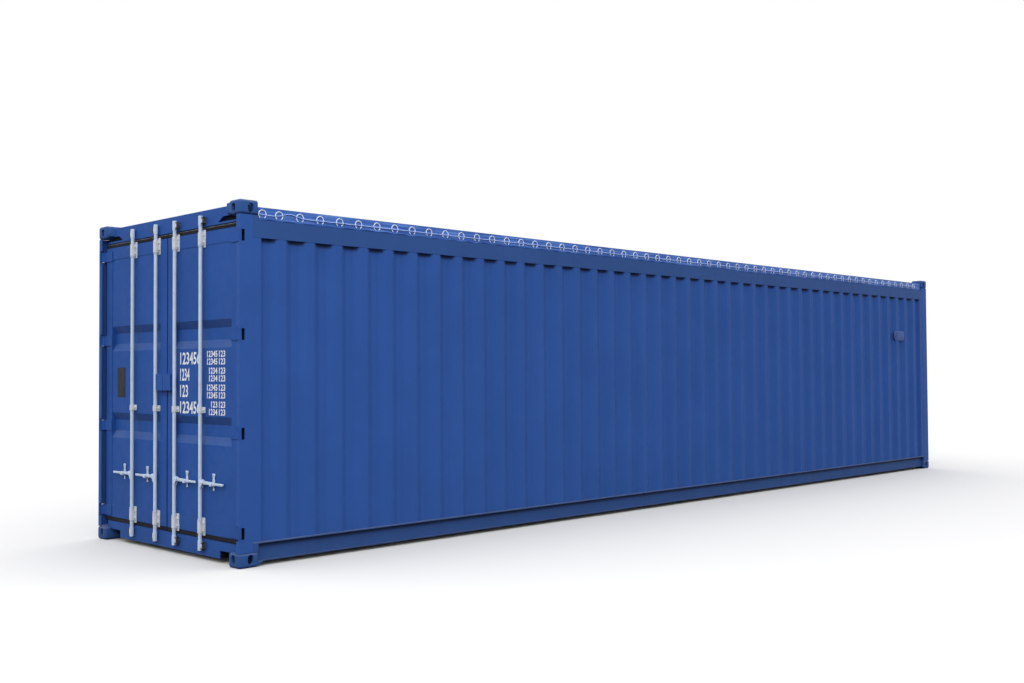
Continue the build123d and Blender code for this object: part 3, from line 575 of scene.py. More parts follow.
def add_plate(shape, points, start, end, way, corner=0.0, rim=0.0):
    """Adds a flat piece of a given outline, with rounded corners and softened rims."""
    flat = bmesh.new()
    flat.faces.new([flat.verts.new((a, b, start)) for a, b in points])
    if corner:
        bmesh.ops.bevel(flat, geom=flat.verts[:], offset=corner, offset_type="OFFSET", affect="VERTICES",
                        segments=5, profile=0.5, material=-1, clamp_overlap=True)
    made = bmesh.ops.extrude_face_region(flat, geom=flat.faces[:], use_keep_orig=True)
    moved = [item for item in made["geom"] if isinstance(item, bmesh.types.BMVert)]
    bmesh.ops.translate(flat, verts=moved, vec=(0, 0, end - start))
    if rim:
        rims = [edge for edge in flat.edges if abs(edge.verts[0].co.z - edge.verts[1].co.z) < 1e-6]
        bmesh.ops.bevel(flat, geom=rims, offset=rim, offset_type="OFFSET", affect="EDGES", segments=2,
                        profile=0.5, material=-1, clamp_overlap=True)
    bmesh.ops.transform(flat, matrix=way, verts=flat.verts[:])
    bmesh.ops.dissolve_degenerate(flat, edges=flat.edges[:], dist=0.00001)
    bmesh.ops.recalc_face_normals(flat, faces=flat.faces[:])
    add_mesh(shape, mesh_from("plate", flat))


def add_turned(shape, x, y, profile, steps=28):
    """Adds a shape turned about an upright line: its profile gives radius and height from end to end."""
    turned = bmesh.new()
    line = [turned.verts.new((x + radius, y, z)) for radius, z in profile]
    edges = [turned.edges.new(pair) for pair in zip(line, line[1:])]
    bmesh.ops.spin(turned, geom=line + edges, cent=(x, y, 0), axis=(0, 0, 1), angle=2 * math.pi, steps=steps,
                   use_merge=True)
    weld(turned)
    add_mesh(shape, mesh_from("turned", turned))


def door_rods(door):
    """Place and Y of each lock rod of a door."""
    return [(place, JOINTS[f"{door}_{place}_rod_turn"][1]) for place in PLACES]


class CONTAINER_OT_cad_finish(bpy.types.Operator):
    """Give every CAD node its finish"""

    bl_idname = "container.cad_finish"
    bl_label = "Finish the CAD nodes"

    # Words in a node's name that call for a finish, the first match first; other nodes are painted as walls
    finishes = {
        "casting": ("corner_castings",),
        "steel": ("lock_keepers", "roof_bows", "rod_brackets", "handle_hooks", "lock_rod", "_handle"),
        "rubber": ("gasket",),
        "plywood": ("floor",),
        "tarp": ("tarpaulin",),
        "foot": ("bottom_side_rails",),
        "rail": ("side_rails",),
        "side": ("side_wall",),
        "door": ("door_", "lock_box"),
    }

    def execute(self, context):
        MATERIALS.update(build_materials())
        for name, node in NODES.items():
            kinds = [kind for kind, words in self.finishes.items() if any(word in name for word in words)]
            node.data.materials.clear()
            node.data.materials.append(MATERIALS[kinds[0] if kinds else "wall"])
        return {"FINISHED"}


class CONTAINER_OT_castings(bpy.types.Operator):
    """Round the corner castings and hollow them through their three holes"""

    bl_idname = "container.castings"
    bl_label = "Corner castings"

    outer_wall = 0.024
    inner_wall = 0.012
    rounding = 0.023
    inner_rounding = 0.006
    slot = (0.1245, 0.0635)
    slot_place = (0.1035, 0.0895)
    face_hole = (0.051, 0.076)
    cut_start = 0.01
    cut_end = 0.02
    hole_flat = 0.0002

    def execute(self, context):
        casting = self.hollowed(self.block(), self.room())
        overturn = Matrix.Translation((0, 0, CAD_HIGH.z)) @ Matrix.Diagonal((1, 1, -1, 1))
        for node, upside_down in (("corner_castings_bottom", False), ("corner_castings_top", True)):
            shape = bmesh.new()
            for along in (1, -1):
                for across in (1, -1):
                    copy = casting.copy()
                    copy.transform(Matrix.Diagonal((along, across, 1, 1)))
                    if upside_down:
                        copy.transform(overturn)
                    add_mesh(shape, copy)
            bmesh.ops.recalc_face_normals(shape, faces=shape.faces[:])
            finish_piece(f"rounded_{node}", shape, "casting", "container", [node])
        return {"FINISHED"}

    def block(self):
        """The solid casting at the right of the doors, at the bottom."""
        shape = bmesh.new()
        add_block(shape, CAD_LOW, CAD_LOW + Vector(CASTING_SIZE), self.rounding, 5)
        return shape

    def room(self):
        """What is taken out of it: the room inside and the three holes."""
        low = CAD_LOW + Vector((self.outer_wall,) * 3)
        high = CAD_LOW + Vector(CASTING_SIZE) - Vector((self.inner_wall,) * 3)
        shape = bmesh.new()
        add_block(shape, low, high, self.inner_rounding)
        x, y = CAD_LOW.x + self.slot_place[0], CAD_LOW.y + self.slot_place[1]
        z = (low.z + high.z) / 2
        for a, b, hole, face, way in ((x, y, self.slot, CAD_LOW.z, LEVEL),
                                      (y, z, self.face_hole, CAD_LOW.x, UPRIGHT_ACROSS),
                                      (x, z, self.face_hole, CAD_LOW.y, UPRIGHT_ALONG)):
            add_plate(shape, rectangle(a, b, *hole), face - self.cut_start,
                      face + self.outer_wall + self.cut_end, way, min(hole) / 2 - self.hole_flat)
        return shape

    def hollowed(self, shape, room):
        """The mesh that is left of a shape without the room."""
        parts = (("casting_block", shape), ("casting_room", room))
        holders = [add_object(name, mesh_from(name, part)) for name, part in parts]
        cut = holders[0].modifiers.new("room", "BOOLEAN")
        cut.object = holders[1]
        cut.solver = "EXACT"
        cut.use_self = True
        result = evaluated_mesh(holders[0])
        for holder in holders:
            bpy.data.objects.remove(holder)
        if len(result.polygons) < 60:
            raise RuntimeError("the casting wasn't hollowed")
        return result


class CONTAINER_OT_gussets(bpy.types.Operator):
    """Weld the gussets beside the castings and the lips along the foot of the side walls"""

    bl_idname = "container.gussets"
    bl_label = "Gussets and lips"

    lap = 0.004
    header_front = (0.008, 0.012)
    header_reach = (0.046, 0.070)
    header_rim = 0.014
    header_levels = (0.104, 0.012)
    foot_reach = (0.016, 0.046, 0.060)
    foot_levels = (0.012, 0.016)
    foot_depth = (0.006, 0.050)
    lip = (0.005, 0.010)
    lip_out = 0.0005
    lip_edge = 0.002
    foot_rim = 0.003

    def execute(self, context):
        gussets, lips = bmesh.new(), bmesh.new()
        for side in (-1, 1):
            self.add_header(gussets, side)
            for end in (-1, 1):
                self.add_foot(gussets, side, end)
            depth, height = self.lip
            face = WALL_HIGH.y
            add_block(lips, (WALL_LOW.x, side * (face - depth), FOOT_HIGH.z),
                      (WALL_HIGH.x, side * (face + self.lip_out), FOOT_HIGH.z + height), self.lip_edge)
        finish_piece("casting_gussets", gussets, "casting", "container")
        finish_piece("wall_foot_lips", lips, "ledge", "container")
        return {"FINISHED"}

    def add_header(self, shape, side):
        """Slope from a top casting down to the header."""
        root = side * (CASTING_INNER + self.lap)
        near, far = (side * (CASTING_INNER - reach) for reach in self.header_reach)
        front, middle = (CAD_LOW.x + depth for depth in self.header_front)
        points = [(front, root), (middle, near), (DOOR_FACE, far), (DOOR_FACE, root)]
        low, high = (CAD_HIGH.z - drop for drop in self.header_levels)
        add_plate(shape, points, low, high, LEVEL, 0.0, self.header_rim)

    def add_foot(self, shape, side, end):
        """Slope from a bottom casting up to the rail."""
        start = end * (CAD_HIGH.x - CASTING_SIZE[0] + self.lap)
        first, second, third = self.foot_reach
        slope = ((0.0, self.foot_levels[0]), (first, self.foot_levels[1]), (second, FOOT_LOW.z - self.lap),
                 (third, FOOT_LOW.z + self.lap), (0.0, FOOT_LOW.z + self.lap))
        points = [(start - end * reach, level) for reach, level in slope]
        near, far = sorted(side * (CAD_HIGH.y - depth) for depth in self.foot_depth)
        add_plate(shape, points, near, far, UPRIGHT_ALONG, 0.0, self.foot_rim)


class CONTAINER_OT_lock_rods(bpy.types.Operator):
    """Turn the lock rods with their collars, cams and handle hubs"""

    bl_idname = "container.lock_rods"
    bl_label = "Lock rods"

    radius = 0.0155
    collar_radius = 0.0190
    collar_height = 0.084
    collar_edge = 0.003
    collar_shoulder = 0.002
    ring_radius = 0.0205
    ring_height = 0.010
    ring_edge = 0.001
    strap_end = 0.127
    cam_root = 0.010
    cam_reach = 0.040
    cam_half = (0.008, 0.015)
    shoulder_reach = 0.027
    shoulder_more = (0.004, 0.010)
    cam_edge = 0.004
    hub_gap = 0.006
    hub_plate = 0.006
    cheek = ((0.0, 0.026), (0.044, 0.022), (0.058, 0.008), (0.056, -0.012), (0.034, -0.024), (0.024, -0.048),
             (0.0, -0.052))
    cheek_edges = (0.006, 0.0012)
    pivot = 0.036
    pivot_head = (0.011, 0.005, 14)
    pivot_pin = 0.0058
    stop_place = (0.010, -0.038)
    stop_head = (0.007, 0.004, 12)

    def execute(self, context):
        for door, side in SIDES:
            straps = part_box(f"{door}_rod_brackets")
            for place, y in door_rods(door):
                node = f"{door}_{place}_lock_rod"
                low, high = (corner.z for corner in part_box(node))
                shape = bmesh.new()
                self.add_rod(shape, y, low, high, straps)
                for z in (low + self.collar_height / 2, high - self.collar_height / 2):
                    self.add_cam(shape, y, side, z)
                self.add_hub(shape, y, side)
                finish_piece(f"{node}_turned", shape, "steel", node, [node], 35.0)
        return {"FINISHED"}

    def add_rod(self, shape, y, low, high, straps):
        rod, collar, tall = self.radius, self.collar_radius, self.collar_height
        edge, shoulder, chamfer = self.collar_edge, self.collar_shoulder, self.ring_edge
        profile = [(0, low), (collar - edge, low), (collar, low + edge), (collar, low + tall - shoulder),
                   (rod, low + tall)]
        for z in (straps[0].z + self.strap_end, straps[1].z - self.strap_end - self.ring_height):
            top = z + self.ring_height
            profile += [(rod, z), (self.ring_radius, z + chamfer), (self.ring_radius, top - chamfer),
                        (rod, top)]
        profile += [(rod, high - tall), (collar, high - tall + shoulder), (collar, high - edge),
                    (collar - edge, high), (0, high)]
        add_turned(shape, ROD_X, y, profile)

    def add_cam(self, shape, y, side, z):
        """Nose that stands out from the collar, with a shoulder at its root."""
        half, tall = self.cam_half
        root = y + side * self.cam_root
        add_block(shape, (ROD_X - half, root, z - tall), (ROD_X + half, y + side * self.cam_reach, z + tall),
                  self.cam_edge, 3)
        half, tall = half + self.shoulder_more[0], tall + self.shoulder_more[1]
        add_block(shape, (ROD_X - half, root, z - tall),
                  (ROD_X + half, y + side * self.shoulder_reach, z + tall), self.cam_edge, 3)

    def add_hub(self, shape, y, side):
        """Two cheeks that hold the handle, and the rivet through them."""
        points = [(y + side * reach, HANDLE_Z + rise) for reach, rise in self.cheek]
        inner, outer = self.hub_gap, self.hub_gap + self.hub_plate
        for start, end in ((-outer, -inner), (inner, outer)):
            add_plate(shape, points, ROD_X + start, ROD_X + end, UPRIGHT_ACROSS, *self.cheek_edges)
        pivot = y + side * self.pivot
        stop, drop = self.stop_place
        add_bolt(shape, (ROD_X - outer, pivot, HANDLE_Z), *self.pivot_head)
        add_bolt(shape, (ROD_X - outer, y + side * stop, HANDLE_Z + drop), *self.stop_head)
        add_bolt(shape, (ROD_X + inner, pivot, HANDLE_Z), self.pivot_pin, 2 * inner, 14)


class CONTAINER_OT_handles(bpy.types.Operator):
    """Forge the four handles with an eye and a thicker grip"""

    bl_idname = "container.handles"
    bl_label = "Handles"

    profile = ((0.0205, -0.011), (0.030, -0.0148), (0.120, -0.0140), (0.200, -0.0142), (0.353, -0.0128),
               (0.354, 0.0050), (0.240, 0.0066), (0.200, 0.0098), (0.120, 0.0120), (0.052, 0.0144),
               (0.028, 0.0148), (0.0205, 0.010))
    half = 0.005
    edges = (0.0045, 0.002)
    grip = (0.242, 0.350)
    grip_levels = (-0.0132, 0.0060)
    grip_more = 0.0015
    grip_edge = 0.005

    def execute(self, context):
        for door, side in SIDES:
            for place, y in door_rods(door):
                node = f"{door}_{place}_handle"
                points = [(y + side * reach, HANDLE_Z + rise) for reach, rise in self.profile]
                shape = bmesh.new()
                add_plate(shape, points, ROD_X - self.half, ROD_X + self.half, UPRIGHT_ACROSS, *self.edges)
                (near, far), (low, high) = self.grip, self.grip_levels
                half = self.half + self.grip_more
                add_block(shape, (ROD_X - half, y + side * near, HANDLE_Z + low),
                          (ROD_X + half, y + side * far, HANDLE_Z + high), self.grip_edge, 3)
                finish_piece(f"{node}_forged", shape, "steel", node, [node])
        return {"FINISHED"}


class CONTAINER_OT_hooks(bpy.types.Operator):
    """Shape the hooks that hold the handles, with a catch above each"""

    bl_idname = "container.hooks"
    bl_label = "Handle hooks"

    reach = 0.1775
    plate = 0.005
    # One half of the plate, from its foot to its head
    outline = ((0.012, -0.060), (0.012, -0.047), (0.006, -0.041), (0.006, -0.031), (0.018, -0.023),
               (0.018, 0.020), (0.013, 0.034), (0.013, 0.046), (0.020, 0.054), (0.020, 0.078))
    catch = ((0.006, 0.020), (0.007, 0.064))
    catch_plate = 0.003
    plate_edges = (0.0035, 0.0010)
    catch_edges = (0.003, 0.0008)
    shelf = (-0.0235, -0.0155)
    shelf_half = 0.016
    shelf_edge = 0.002
    lip = (0.008, 0.015)
    lip_top = -0.0015
    head_rise = 0.066
    head_bolt = (0.007, 0.005, 12)
    foot_rise = -0.052
    foot_bolt = (0.005, 0.004)

    def execute(self, context):
        for door, side in SIDES:
            shape = bmesh.new()
            for place, y in door_rods(door):
                self.add_hook(shape, y + side * self.reach)
            finish_piece(f"{door}_handle_hooks_shaped", shape, "steel", f"{door}_door",
                         [f"{door}_handle_hooks"])
        return {"FINISHED"}

    def mirrored(self, y, half):
        """A full outline from its half on one side of an upright line."""
        right = [(y + a, HANDLE_Z + b) for a, b in half]
        return right + [(y - a, HANDLE_Z + b) for a, b in reversed(half)]

    def add_hook(self, shape, y):
        front = DOOR_FACE - self.plate
        catch = front - self.catch_plate
        add_plate(shape, self.mirrored(y, self.outline), front, DOOR_FACE, UPRIGHT_ACROSS, *self.plate_edges)
        add_plate(shape, self.mirrored(y, self.catch), catch, front, UPRIGHT_ACROSS, *self.catch_edges)
        low, high = (HANDLE_Z + level for level in self.shelf)
        back, out = (ROD_X - depth for depth in self.lip)
        left, right = y - self.shelf_half, y + self.shelf_half
        add_block(shape, (out, left, low), (front, right, high), self.shelf_edge)
        add_block(shape, (out, left, low), (back, right, HANDLE_Z + self.lip_top), self.shelf_edge)
        add_bolt(shape, (catch, y, HANDLE_Z + self.head_rise), *self.head_bolt)
        add_bolt(shape, (front, y, HANDLE_Z + self.foot_rise), *self.foot_bolt)


class CONTAINER_OT_brackets(bpy.types.Operator):
    """Bend the straps that hold the rods and bolt them to the doors"""

    bl_idname = "container.brackets"
    bl_label = "Rod brackets"

    plate = 0.005
    width = 0.092
    plate_edges = (0.007, 0.0012)
    bracket_height = 0.146
    strap_height = 0.104
    guide_height = 0.050
    guide_rise = 1.025
    inner = 0.0174
    outer = 0.0213
    strap_edge = 0.001
    flange = 0.005
    flange_reach = 0.043
    flange_edge = 0.0015
    bolt_reach = 0.0325
    bolt_spread = 0.56
    washer = (0.0098, 0.0035, 16)
    washer_seat = 0.003
    bolt_height = 0.007
    bolt_share = 0.82

    def execute(self, context):
        for door, side in SIDES:
            low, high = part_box(f"{door}_rod_brackets")
            half = self.bracket_height / 2
            shape = bmesh.new()
            for place, y in door_rods(door):
                for z in (low.z + half, high.z - half):
                    self.add_bracket(shape, y, z, self.bracket_height, self.strap_height, 2)
                self.add_bracket(shape, y, low.z + self.guide_rise, self.guide_height, self.guide_height, 1)
            finish_piece(f"{door}_rod_brackets_bent", shape, "cast", f"{door}_door", [f"{door}_rod_brackets"])
        return {"FINISHED"}

    def add_bracket(self, shape, y, z, height, strap, rows):
        front = DOOR_FACE - self.plate
        add_plate(shape, rectangle(y, z, self.width, height), front, DOOR_FACE, UPRIGHT_ACROSS,
                  *self.plate_edges)
        low, high = z - strap / 2, z + strap / 2
        inner, outer, edge = self.inner, self.outer, self.strap_edge
        section = [(inner, low), (outer - edge, low), (outer, low + edge), (outer, high - edge),
                   (outer - edge, high), (inner, high), (inner, low)]
        add_turned(shape, ROD_X, y, section, 24)
        seat = front - self.flange
        for hand in (-1, 1):
            root = y + hand * inner
            add_block(shape, (ROD_X, root, low), (front, y + hand * outer, high), edge, 1)
            add_block(shape, (seat, root, low), (front, y + hand * self.flange_reach, high), self.flange_edge)
            bolt_y = y + hand * self.bolt_reach
            for row in range(rows):
                bolt_z = z + (row - (rows - 1) / 2) * strap * self.bolt_spread
                add_bolt(shape, (seat, bolt_y, bolt_z), *self.washer)
                add_bolt(shape, (seat - self.washer_seat, bolt_y, bolt_z),
                         looks().bolt_radius * self.bolt_share, self.bolt_height)


class CONTAINER_OT_keepers(bpy.types.Operator):
    """Weld the keepers that the cams turn into"""

    bl_idname = "container.keepers"
    bl_label = "Lock keepers"

    inner = 0.025
    sweep = 0.0458
    outer = 0.0538
    room = 0.020
    half = 0.028
    reach = 0.012
    collar = 0.042
    bead = 0.005
    bead_sink = 0.001
    edge = 0.002
    bead_edge = 0.0022

    def execute(self, context):
        shape = bmesh.new()
        for door, side in SIDES:
            for place, y in door_rods(door):
                low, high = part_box(f"{door}_{place}_lock_rod")
                for z in (low.z + self.collar, high.z - self.collar):
                    self.add_keeper(shape, y, side, z)
        # The keepers' near-black tone is partly grease and partly painted shade
        finish_piece("lock_keepers_welded", shape, "greased", "container", ["lock_keepers"])
        return {"FINISHED"}

    def add_keeper(self, shape, y, side, z):
        """Two arms and the web between them, each with a weld bead at its root."""
        front, bead = ROD_X - self.reach, DOOR_FACE - self.bead
        near, web, far = (y + side * reach for reach in (self.inner, self.sweep, self.outer))
        for hand in (-1, 1):
            arm_in, arm_out = z + hand * self.room, z + hand * self.half
            add_block(shape, (front, near, arm_in), (DOOR_FACE, far, arm_out), self.edge)
            add_block(shape, (bead, near, arm_out - hand * self.bead_sink),
                      (DOOR_FACE, far, arm_out + hand * self.bead), self.bead_edge)
        low, high = z - self.half, z + self.half
        add_block(shape, (front, web, low), (DOOR_FACE, far, high), self.edge)
        add_block(shape, (bead, far - side * self.bead_sink, low), (DOOR_FACE, far + side * self.bead, high),
                  self.bead_edge)


class CONTAINER_OT_gasket_lips(bpy.types.Operator):
    """Run the rubber lips and their metal strip along the edges of the doors; the strip is pale partly as
    metal and partly as a painted highlight
    """

    bl_idname = "container.gasket_lips"
    bl_label = "Gasket lips"

    stand_out = 0.006
    sink = 0.002
    half_width = 0.0045
    rounding = 0.003
    lip_shares = (0.22, 0.50)
    strip_shares = (0.72, 0.90)

    def execute(self, context):
        for door, side in SIDES:
            low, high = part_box(f"{door}_door_gasket")
            leaf_low, leaf_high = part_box(f"{door}_door_frame")
            front, back = low.x - self.stand_out, low.x + self.sink
            lips, strip = bmesh.new(), bmesh.new()
            for start, end in ((low.z, leaf_low.z), (leaf_high.z, high.z)):
                for share in self.lip_shares:
                    z = start + (end - start) * share
                    add_block(lips, (front, leaf_low.y, z - self.half_width),
                              (back, leaf_high.y, z + self.half_width), self.rounding, 3)
            edge = (low.y + leaf_low.y) / 2 if side < 0 else (high.y + leaf_high.y) / 2
            add_block(lips, (front, edge - self.half_width, leaf_low.z),
                      (back, edge + self.half_width, leaf_high.z), self.rounding, 3)
            band = high.z - leaf_high.z
            strip_low, strip_high = (leaf_high.z + band * share for share in self.strip_shares)
            add_block(strip, (front, leaf_low.y, strip_low), (back, leaf_high.y, strip_high),
                      self.rounding, 3)
            finish_piece(f"{door}_gasket_lips", lips, "rubber", f"{door}_door")
            # The strip's pale tone is partly its metal and partly a painted highlight
            finish_piece(f"{door}_gasket_strip", strip, "strip", f"{door}_door")
        return {"FINISHED"}


class CONTAINER_OT_shade_liners(bpy.types.Operator):
    """Line the pockets of the sill and the header with near-black sheets, painted shade that stands for the
    shade inside the beams
    """

    bl_idname = "container.hollows"
    bl_label = "Dark hollows"

    sill_pocket = (0.199, 0.064)
    sill_front = 0.006
    sill_back = 0.010
    header_pocket = (0.275, 0.042)
    header_rise = 0.016
    header_slant = 0.075
    header_front = 0.003
    header_depth = 0.030
    sheet = 0.0012

    def execute(self, context):
        shape = bmesh.new()
        for side in (-1, 1):
            self.line_sill(shape, side, *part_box("door_sill"))
            self.line_header(shape, side, *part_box("door_header"))
        # The sheets are painted shade
        finish_piece("beam_hollows", shape, "hollow", "container", smooth_below=0.0)
        return {"FINISHED"}

    def line_sill(self, shape, side, low, high):
        """The back, the top and the inner end of a pocket beside a casting."""
        width, height = self.sill_pocket
        outer, inner = side * CASTING_INNER, side * (CASTING_INNER - width)
        front, back, top = DOOR_FACE + self.sill_front, high.x - self.sill_back, low.z + height
        add_block(shape, (back - self.sheet, outer, low.z), (back, inner, top))
        add_block(shape, (front, outer, top - self.sheet), (back, inner, top))
        add_block(shape, (front, inner, low.z), (back, inner + side * self.sheet, top))

    def line_header(self, shape, side, low, high):
        """The back and the top of a pocket with one slanting end."""
        width, height = self.header_pocket
        outer, inner = side * high.y, side * (high.y - width)
        slant, floor = inner + side * self.header_slant, low.z + self.header_rise
        back, top = DOOR_FACE + self.header_depth, floor + height
        points = [(outer, floor), (inner, floor), (slant, top), (outer, top)]
        add_plate(shape, points, back - self.sheet, back, UPRIGHT_ACROSS)
        add_block(shape, (DOOR_FACE + self.header_front, outer, top - self.sheet), (back, slant, top))


def ring_places():
    """Where the rings sit along a side, as the frame has them."""
    last = RING_HIGH.x - RING_RADIUS
    count = round((last - RING_THIRD) / RING_PITCH) + 1
    return [RING_LOW.x + RING_RADIUS, RING_SECOND] + [RING_THIRD + i * RING_PITCH for i in range(count)]


def wave_between(x, places):
    """0 at each ring and 1 half way to the next."""
    for left, right in zip(places, places[1:]):
        if left <= x <= right:
            return math.sin(math.pi * (x - left) / (right - left)) ** 2
    return 0.0


class CONTAINER_OT_tarpaulin(bpy.types.Operator):
    """Drape the tarpaulin over the bows and the top rails"""

    bl_idname = "container.tarpaulin"
    bl_label = "Tarpaulin"

    steps_along = 480
    steps_across = 48
    skirt_steps = 12
    margin = 0.002
    skirt_drop = 0.004
    edge_inset = 0.006
    rail_gap = 0.0015
    stand_off = 0.0026
    puff_out = 0.0030
    ripple_out = 0.0016
    crease_out = 0.0008
    crease_rise = 0.0012
    # Waves of the cloth in radians for each metre, and how far each one counts
    crease_waves = (23.0, 7.3)
    ripple_wave = 175.0
    ripple_drift = (1.6, 2.9)
    hem_drift = (0.7, 0.3, 5.1)
    hem_drop = 0.2
    sag_start = 4
    sag_share = 0.9

    def across(self, share):
        """Side, reach and height of the sheet's section from the right hem over the ridge to the left hem.

        The last value goes from 1 at the hem to 0 at the rail and to -1 at the ridge.
        """
        step = share * self.steps_across
        side = -1 if step < self.steps_across / 2 else 1
        step = min(step, self.steps_across - step)
        half = (RAIL_FACE + SKIRT_FACE) / 2
        if step <= self.skirt_steps:
            up = step / self.skirt_steps
            return side, half, TARP_LOW.z + (RAIL_TOP - self.skirt_drop - TARP_LOW.z) * up, 1 - up
        top = (step - self.skirt_steps) / (self.steps_across / 2 - self.skirt_steps)
        z = RAIL_TOP + self.rail_gap + (BOW_TOP - RAIL_TOP) * top
        return side, (half - self.edge_inset) * (1 - top), z, -top

    def draped(self, x, share, places):
        """Place of one point: puffs, ripples and a wavy hem in the skirt, sag between the bows."""
        own = looks()
        side, half, z, part = self.across(share)
        fine, coarse = self.crease_waves
        crease = math.sin(x * fine + side) * math.sin(x * coarse + 1.0)
        if part >= 0:
            puff = wave_between(x, places)
            drift, drift_wave = self.ripple_drift
            ripple = math.sin(z * self.ripple_wave + drift * math.sin(x * drift_wave) + side)
            half += self.stand_off + self.puff_out * puff * (1 - abs(2 * part - 1))
            half += self.ripple_out * ripple + self.crease_out * crease * part
            steady, swing, swing_wave = self.hem_drift
            rise = puff * (steady + swing * math.sin(x * swing_wave)) - self.hem_drop
            z += part * own.hem_wave * rise
        else:
            between = math.sin(math.pi * (x - FIRST_BOW) / BOW_PITCH) ** 2
            z -= own.tarp_sag * between * min(1.0, -part * self.sag_start) * self.sag_share
            z += self.crease_rise * crease * (1 + part)
        return x, side * half, z

    def execute(self, context):
        places = ring_places()
        length = TARP_HIGH.x - TARP_LOW.x
        shape = bmesh.new()
        bmesh.ops.create_grid(shape, x_segments=self.steps_along, y_segments=self.steps_across, size=0.5)
        for vert in shape.verts:
            x = TARP_LOW.x + self.margin + (vert.co.x + 0.5) * (length - 2 * self.margin)
            vert.co = self.draped(x, vert.co.y + 0.5, places)
        bmesh.ops.recalc_face_normals(shape, faces=shape.faces[:])
        sheet = finish_piece("tarpaulin_sheet", shape, "tarp", "container", ["tarpaulin"], 60.0)
        thick = sheet.modifiers.new("thickness", "SOLIDIFY")
        thick.thickness = looks().tarp_thickness
        thick.offset = 0.0
        return {"FINISHED"}


class CONTAINER_OT_rings(bpy.types.Operator):
    """Bend a hoop, open at the bottom, at each place along the skirt"""

    bl_idname = "container.rings"
    bl_label = "Tarpaulin rings"

    opening = 70.0
    steps = 12
    bar_sides = 5
    gap = 0.0004
    join = 0.00005

    def execute(self, context):
        bar = looks().ring_bar
        low_end = Matrix.Rotation(math.radians(90.0 - self.opening / 2), 4, "Y")
        shape = bmesh.new()
        for side in (-1, 1):
            y = side * (SKIRT_FACE + bar + self.gap)
            for x in ring_places():
                centre = Matrix.Translation((x, y, RING_Z)) @ low_end
                start = centre @ Matrix.Translation((RING_RADIUS - bar, 0, 0))
                made = bmesh.ops.create_circle(shape, segments=self.bar_sides, radius=bar, cap_ends=True,
                                               matrix=start)
                faces = list({f for v in made["verts"] for f in v.link_faces})
                bmesh.ops.spin(shape, geom=faces, cent=(x, y, RING_Z), axis=(0, -1, 0),
                               angle=math.radians(360.0 - self.opening), steps=self.steps)
        bmesh.ops.remove_doubles(shape, verts=shape.verts[:], dist=self.join)
        bmesh.ops.holes_fill(shape, edges=[edge for edge in shape.edges if edge.is_boundary], sides=0)
        bmesh.ops.recalc_face_normals(shape, faces=shape.faces[:])
        finish_piece("tarpaulin_round_rings", shape, "bright", "container", ["tarpaulin_rings"], 60.0)
        return {"FINISHED"}


class CONTAINER_OT_cable(bpy.types.Operator):
    """Thread the cable through the rings of both sides"""

    bl_idname = "container.cable"
    bl_label = "Tarpaulin cable"

    front_gap = 0.0008
    back_gap = 0.005
    end_inset = 0.004
    ring_dip = 0.004
    dip = -0.006
    slack = 0.030

    def execute(self, context):
        own = looks()
        curve = bpy.data.curves.new("cable_route", "CURVE")
        curve.dimensions = "3D"
        curve.bevel_depth = own.cable_radius
        curve.bevel_resolution = 1
        curve.resolution_u = 4
        curve.use_fill_caps = True
        for side in (-1, 1):
            spots = self.route(SKIRT_FACE + own.cable_radius, 2 * own.ring_bar)
            spline = curve.splines.new("NURBS")
            spline.points.add(len(spots) - 1)
            for point, (x, y, z) in zip(spline.points, spots):
                point.co = (x, side * y, z, 1.0)
            spline.order_u = 3
            spline.use_endpoint_u = True
        holder = add_object("cable_route", curve)
        shape = bmesh.new()
        add_mesh(shape, evaluated_mesh(holder))
        bpy.data.objects.remove(holder)
        weld(shape)
        finish_piece("tarpaulin_cable_runs", shape, "cable", "container", ["tarpaulin_cables"], 60.0)
        return {"FINISHED"}

    def route(self, skirt, bar):
        """Points of the cable along the left side: in front of each ring, near the skirt between two."""
        front, back = skirt + bar + self.front_gap, skirt + self.back_gap
        places = ring_places()
        reach = RING_RADIUS - self.end_inset
        spots = [(places[0] - reach, front, RING_Z)]
        for left, right in zip(places, places[1:]):
            rise = self.slack if left == places[1] else self.dip
            spots += [(left, front, RING_Z - self.ring_dip), ((left + right) / 2, back, RING_Z + rise)]
        return spots + [(places[-1], front, RING_Z), (places[-1] + reach, front, RING_Z)]


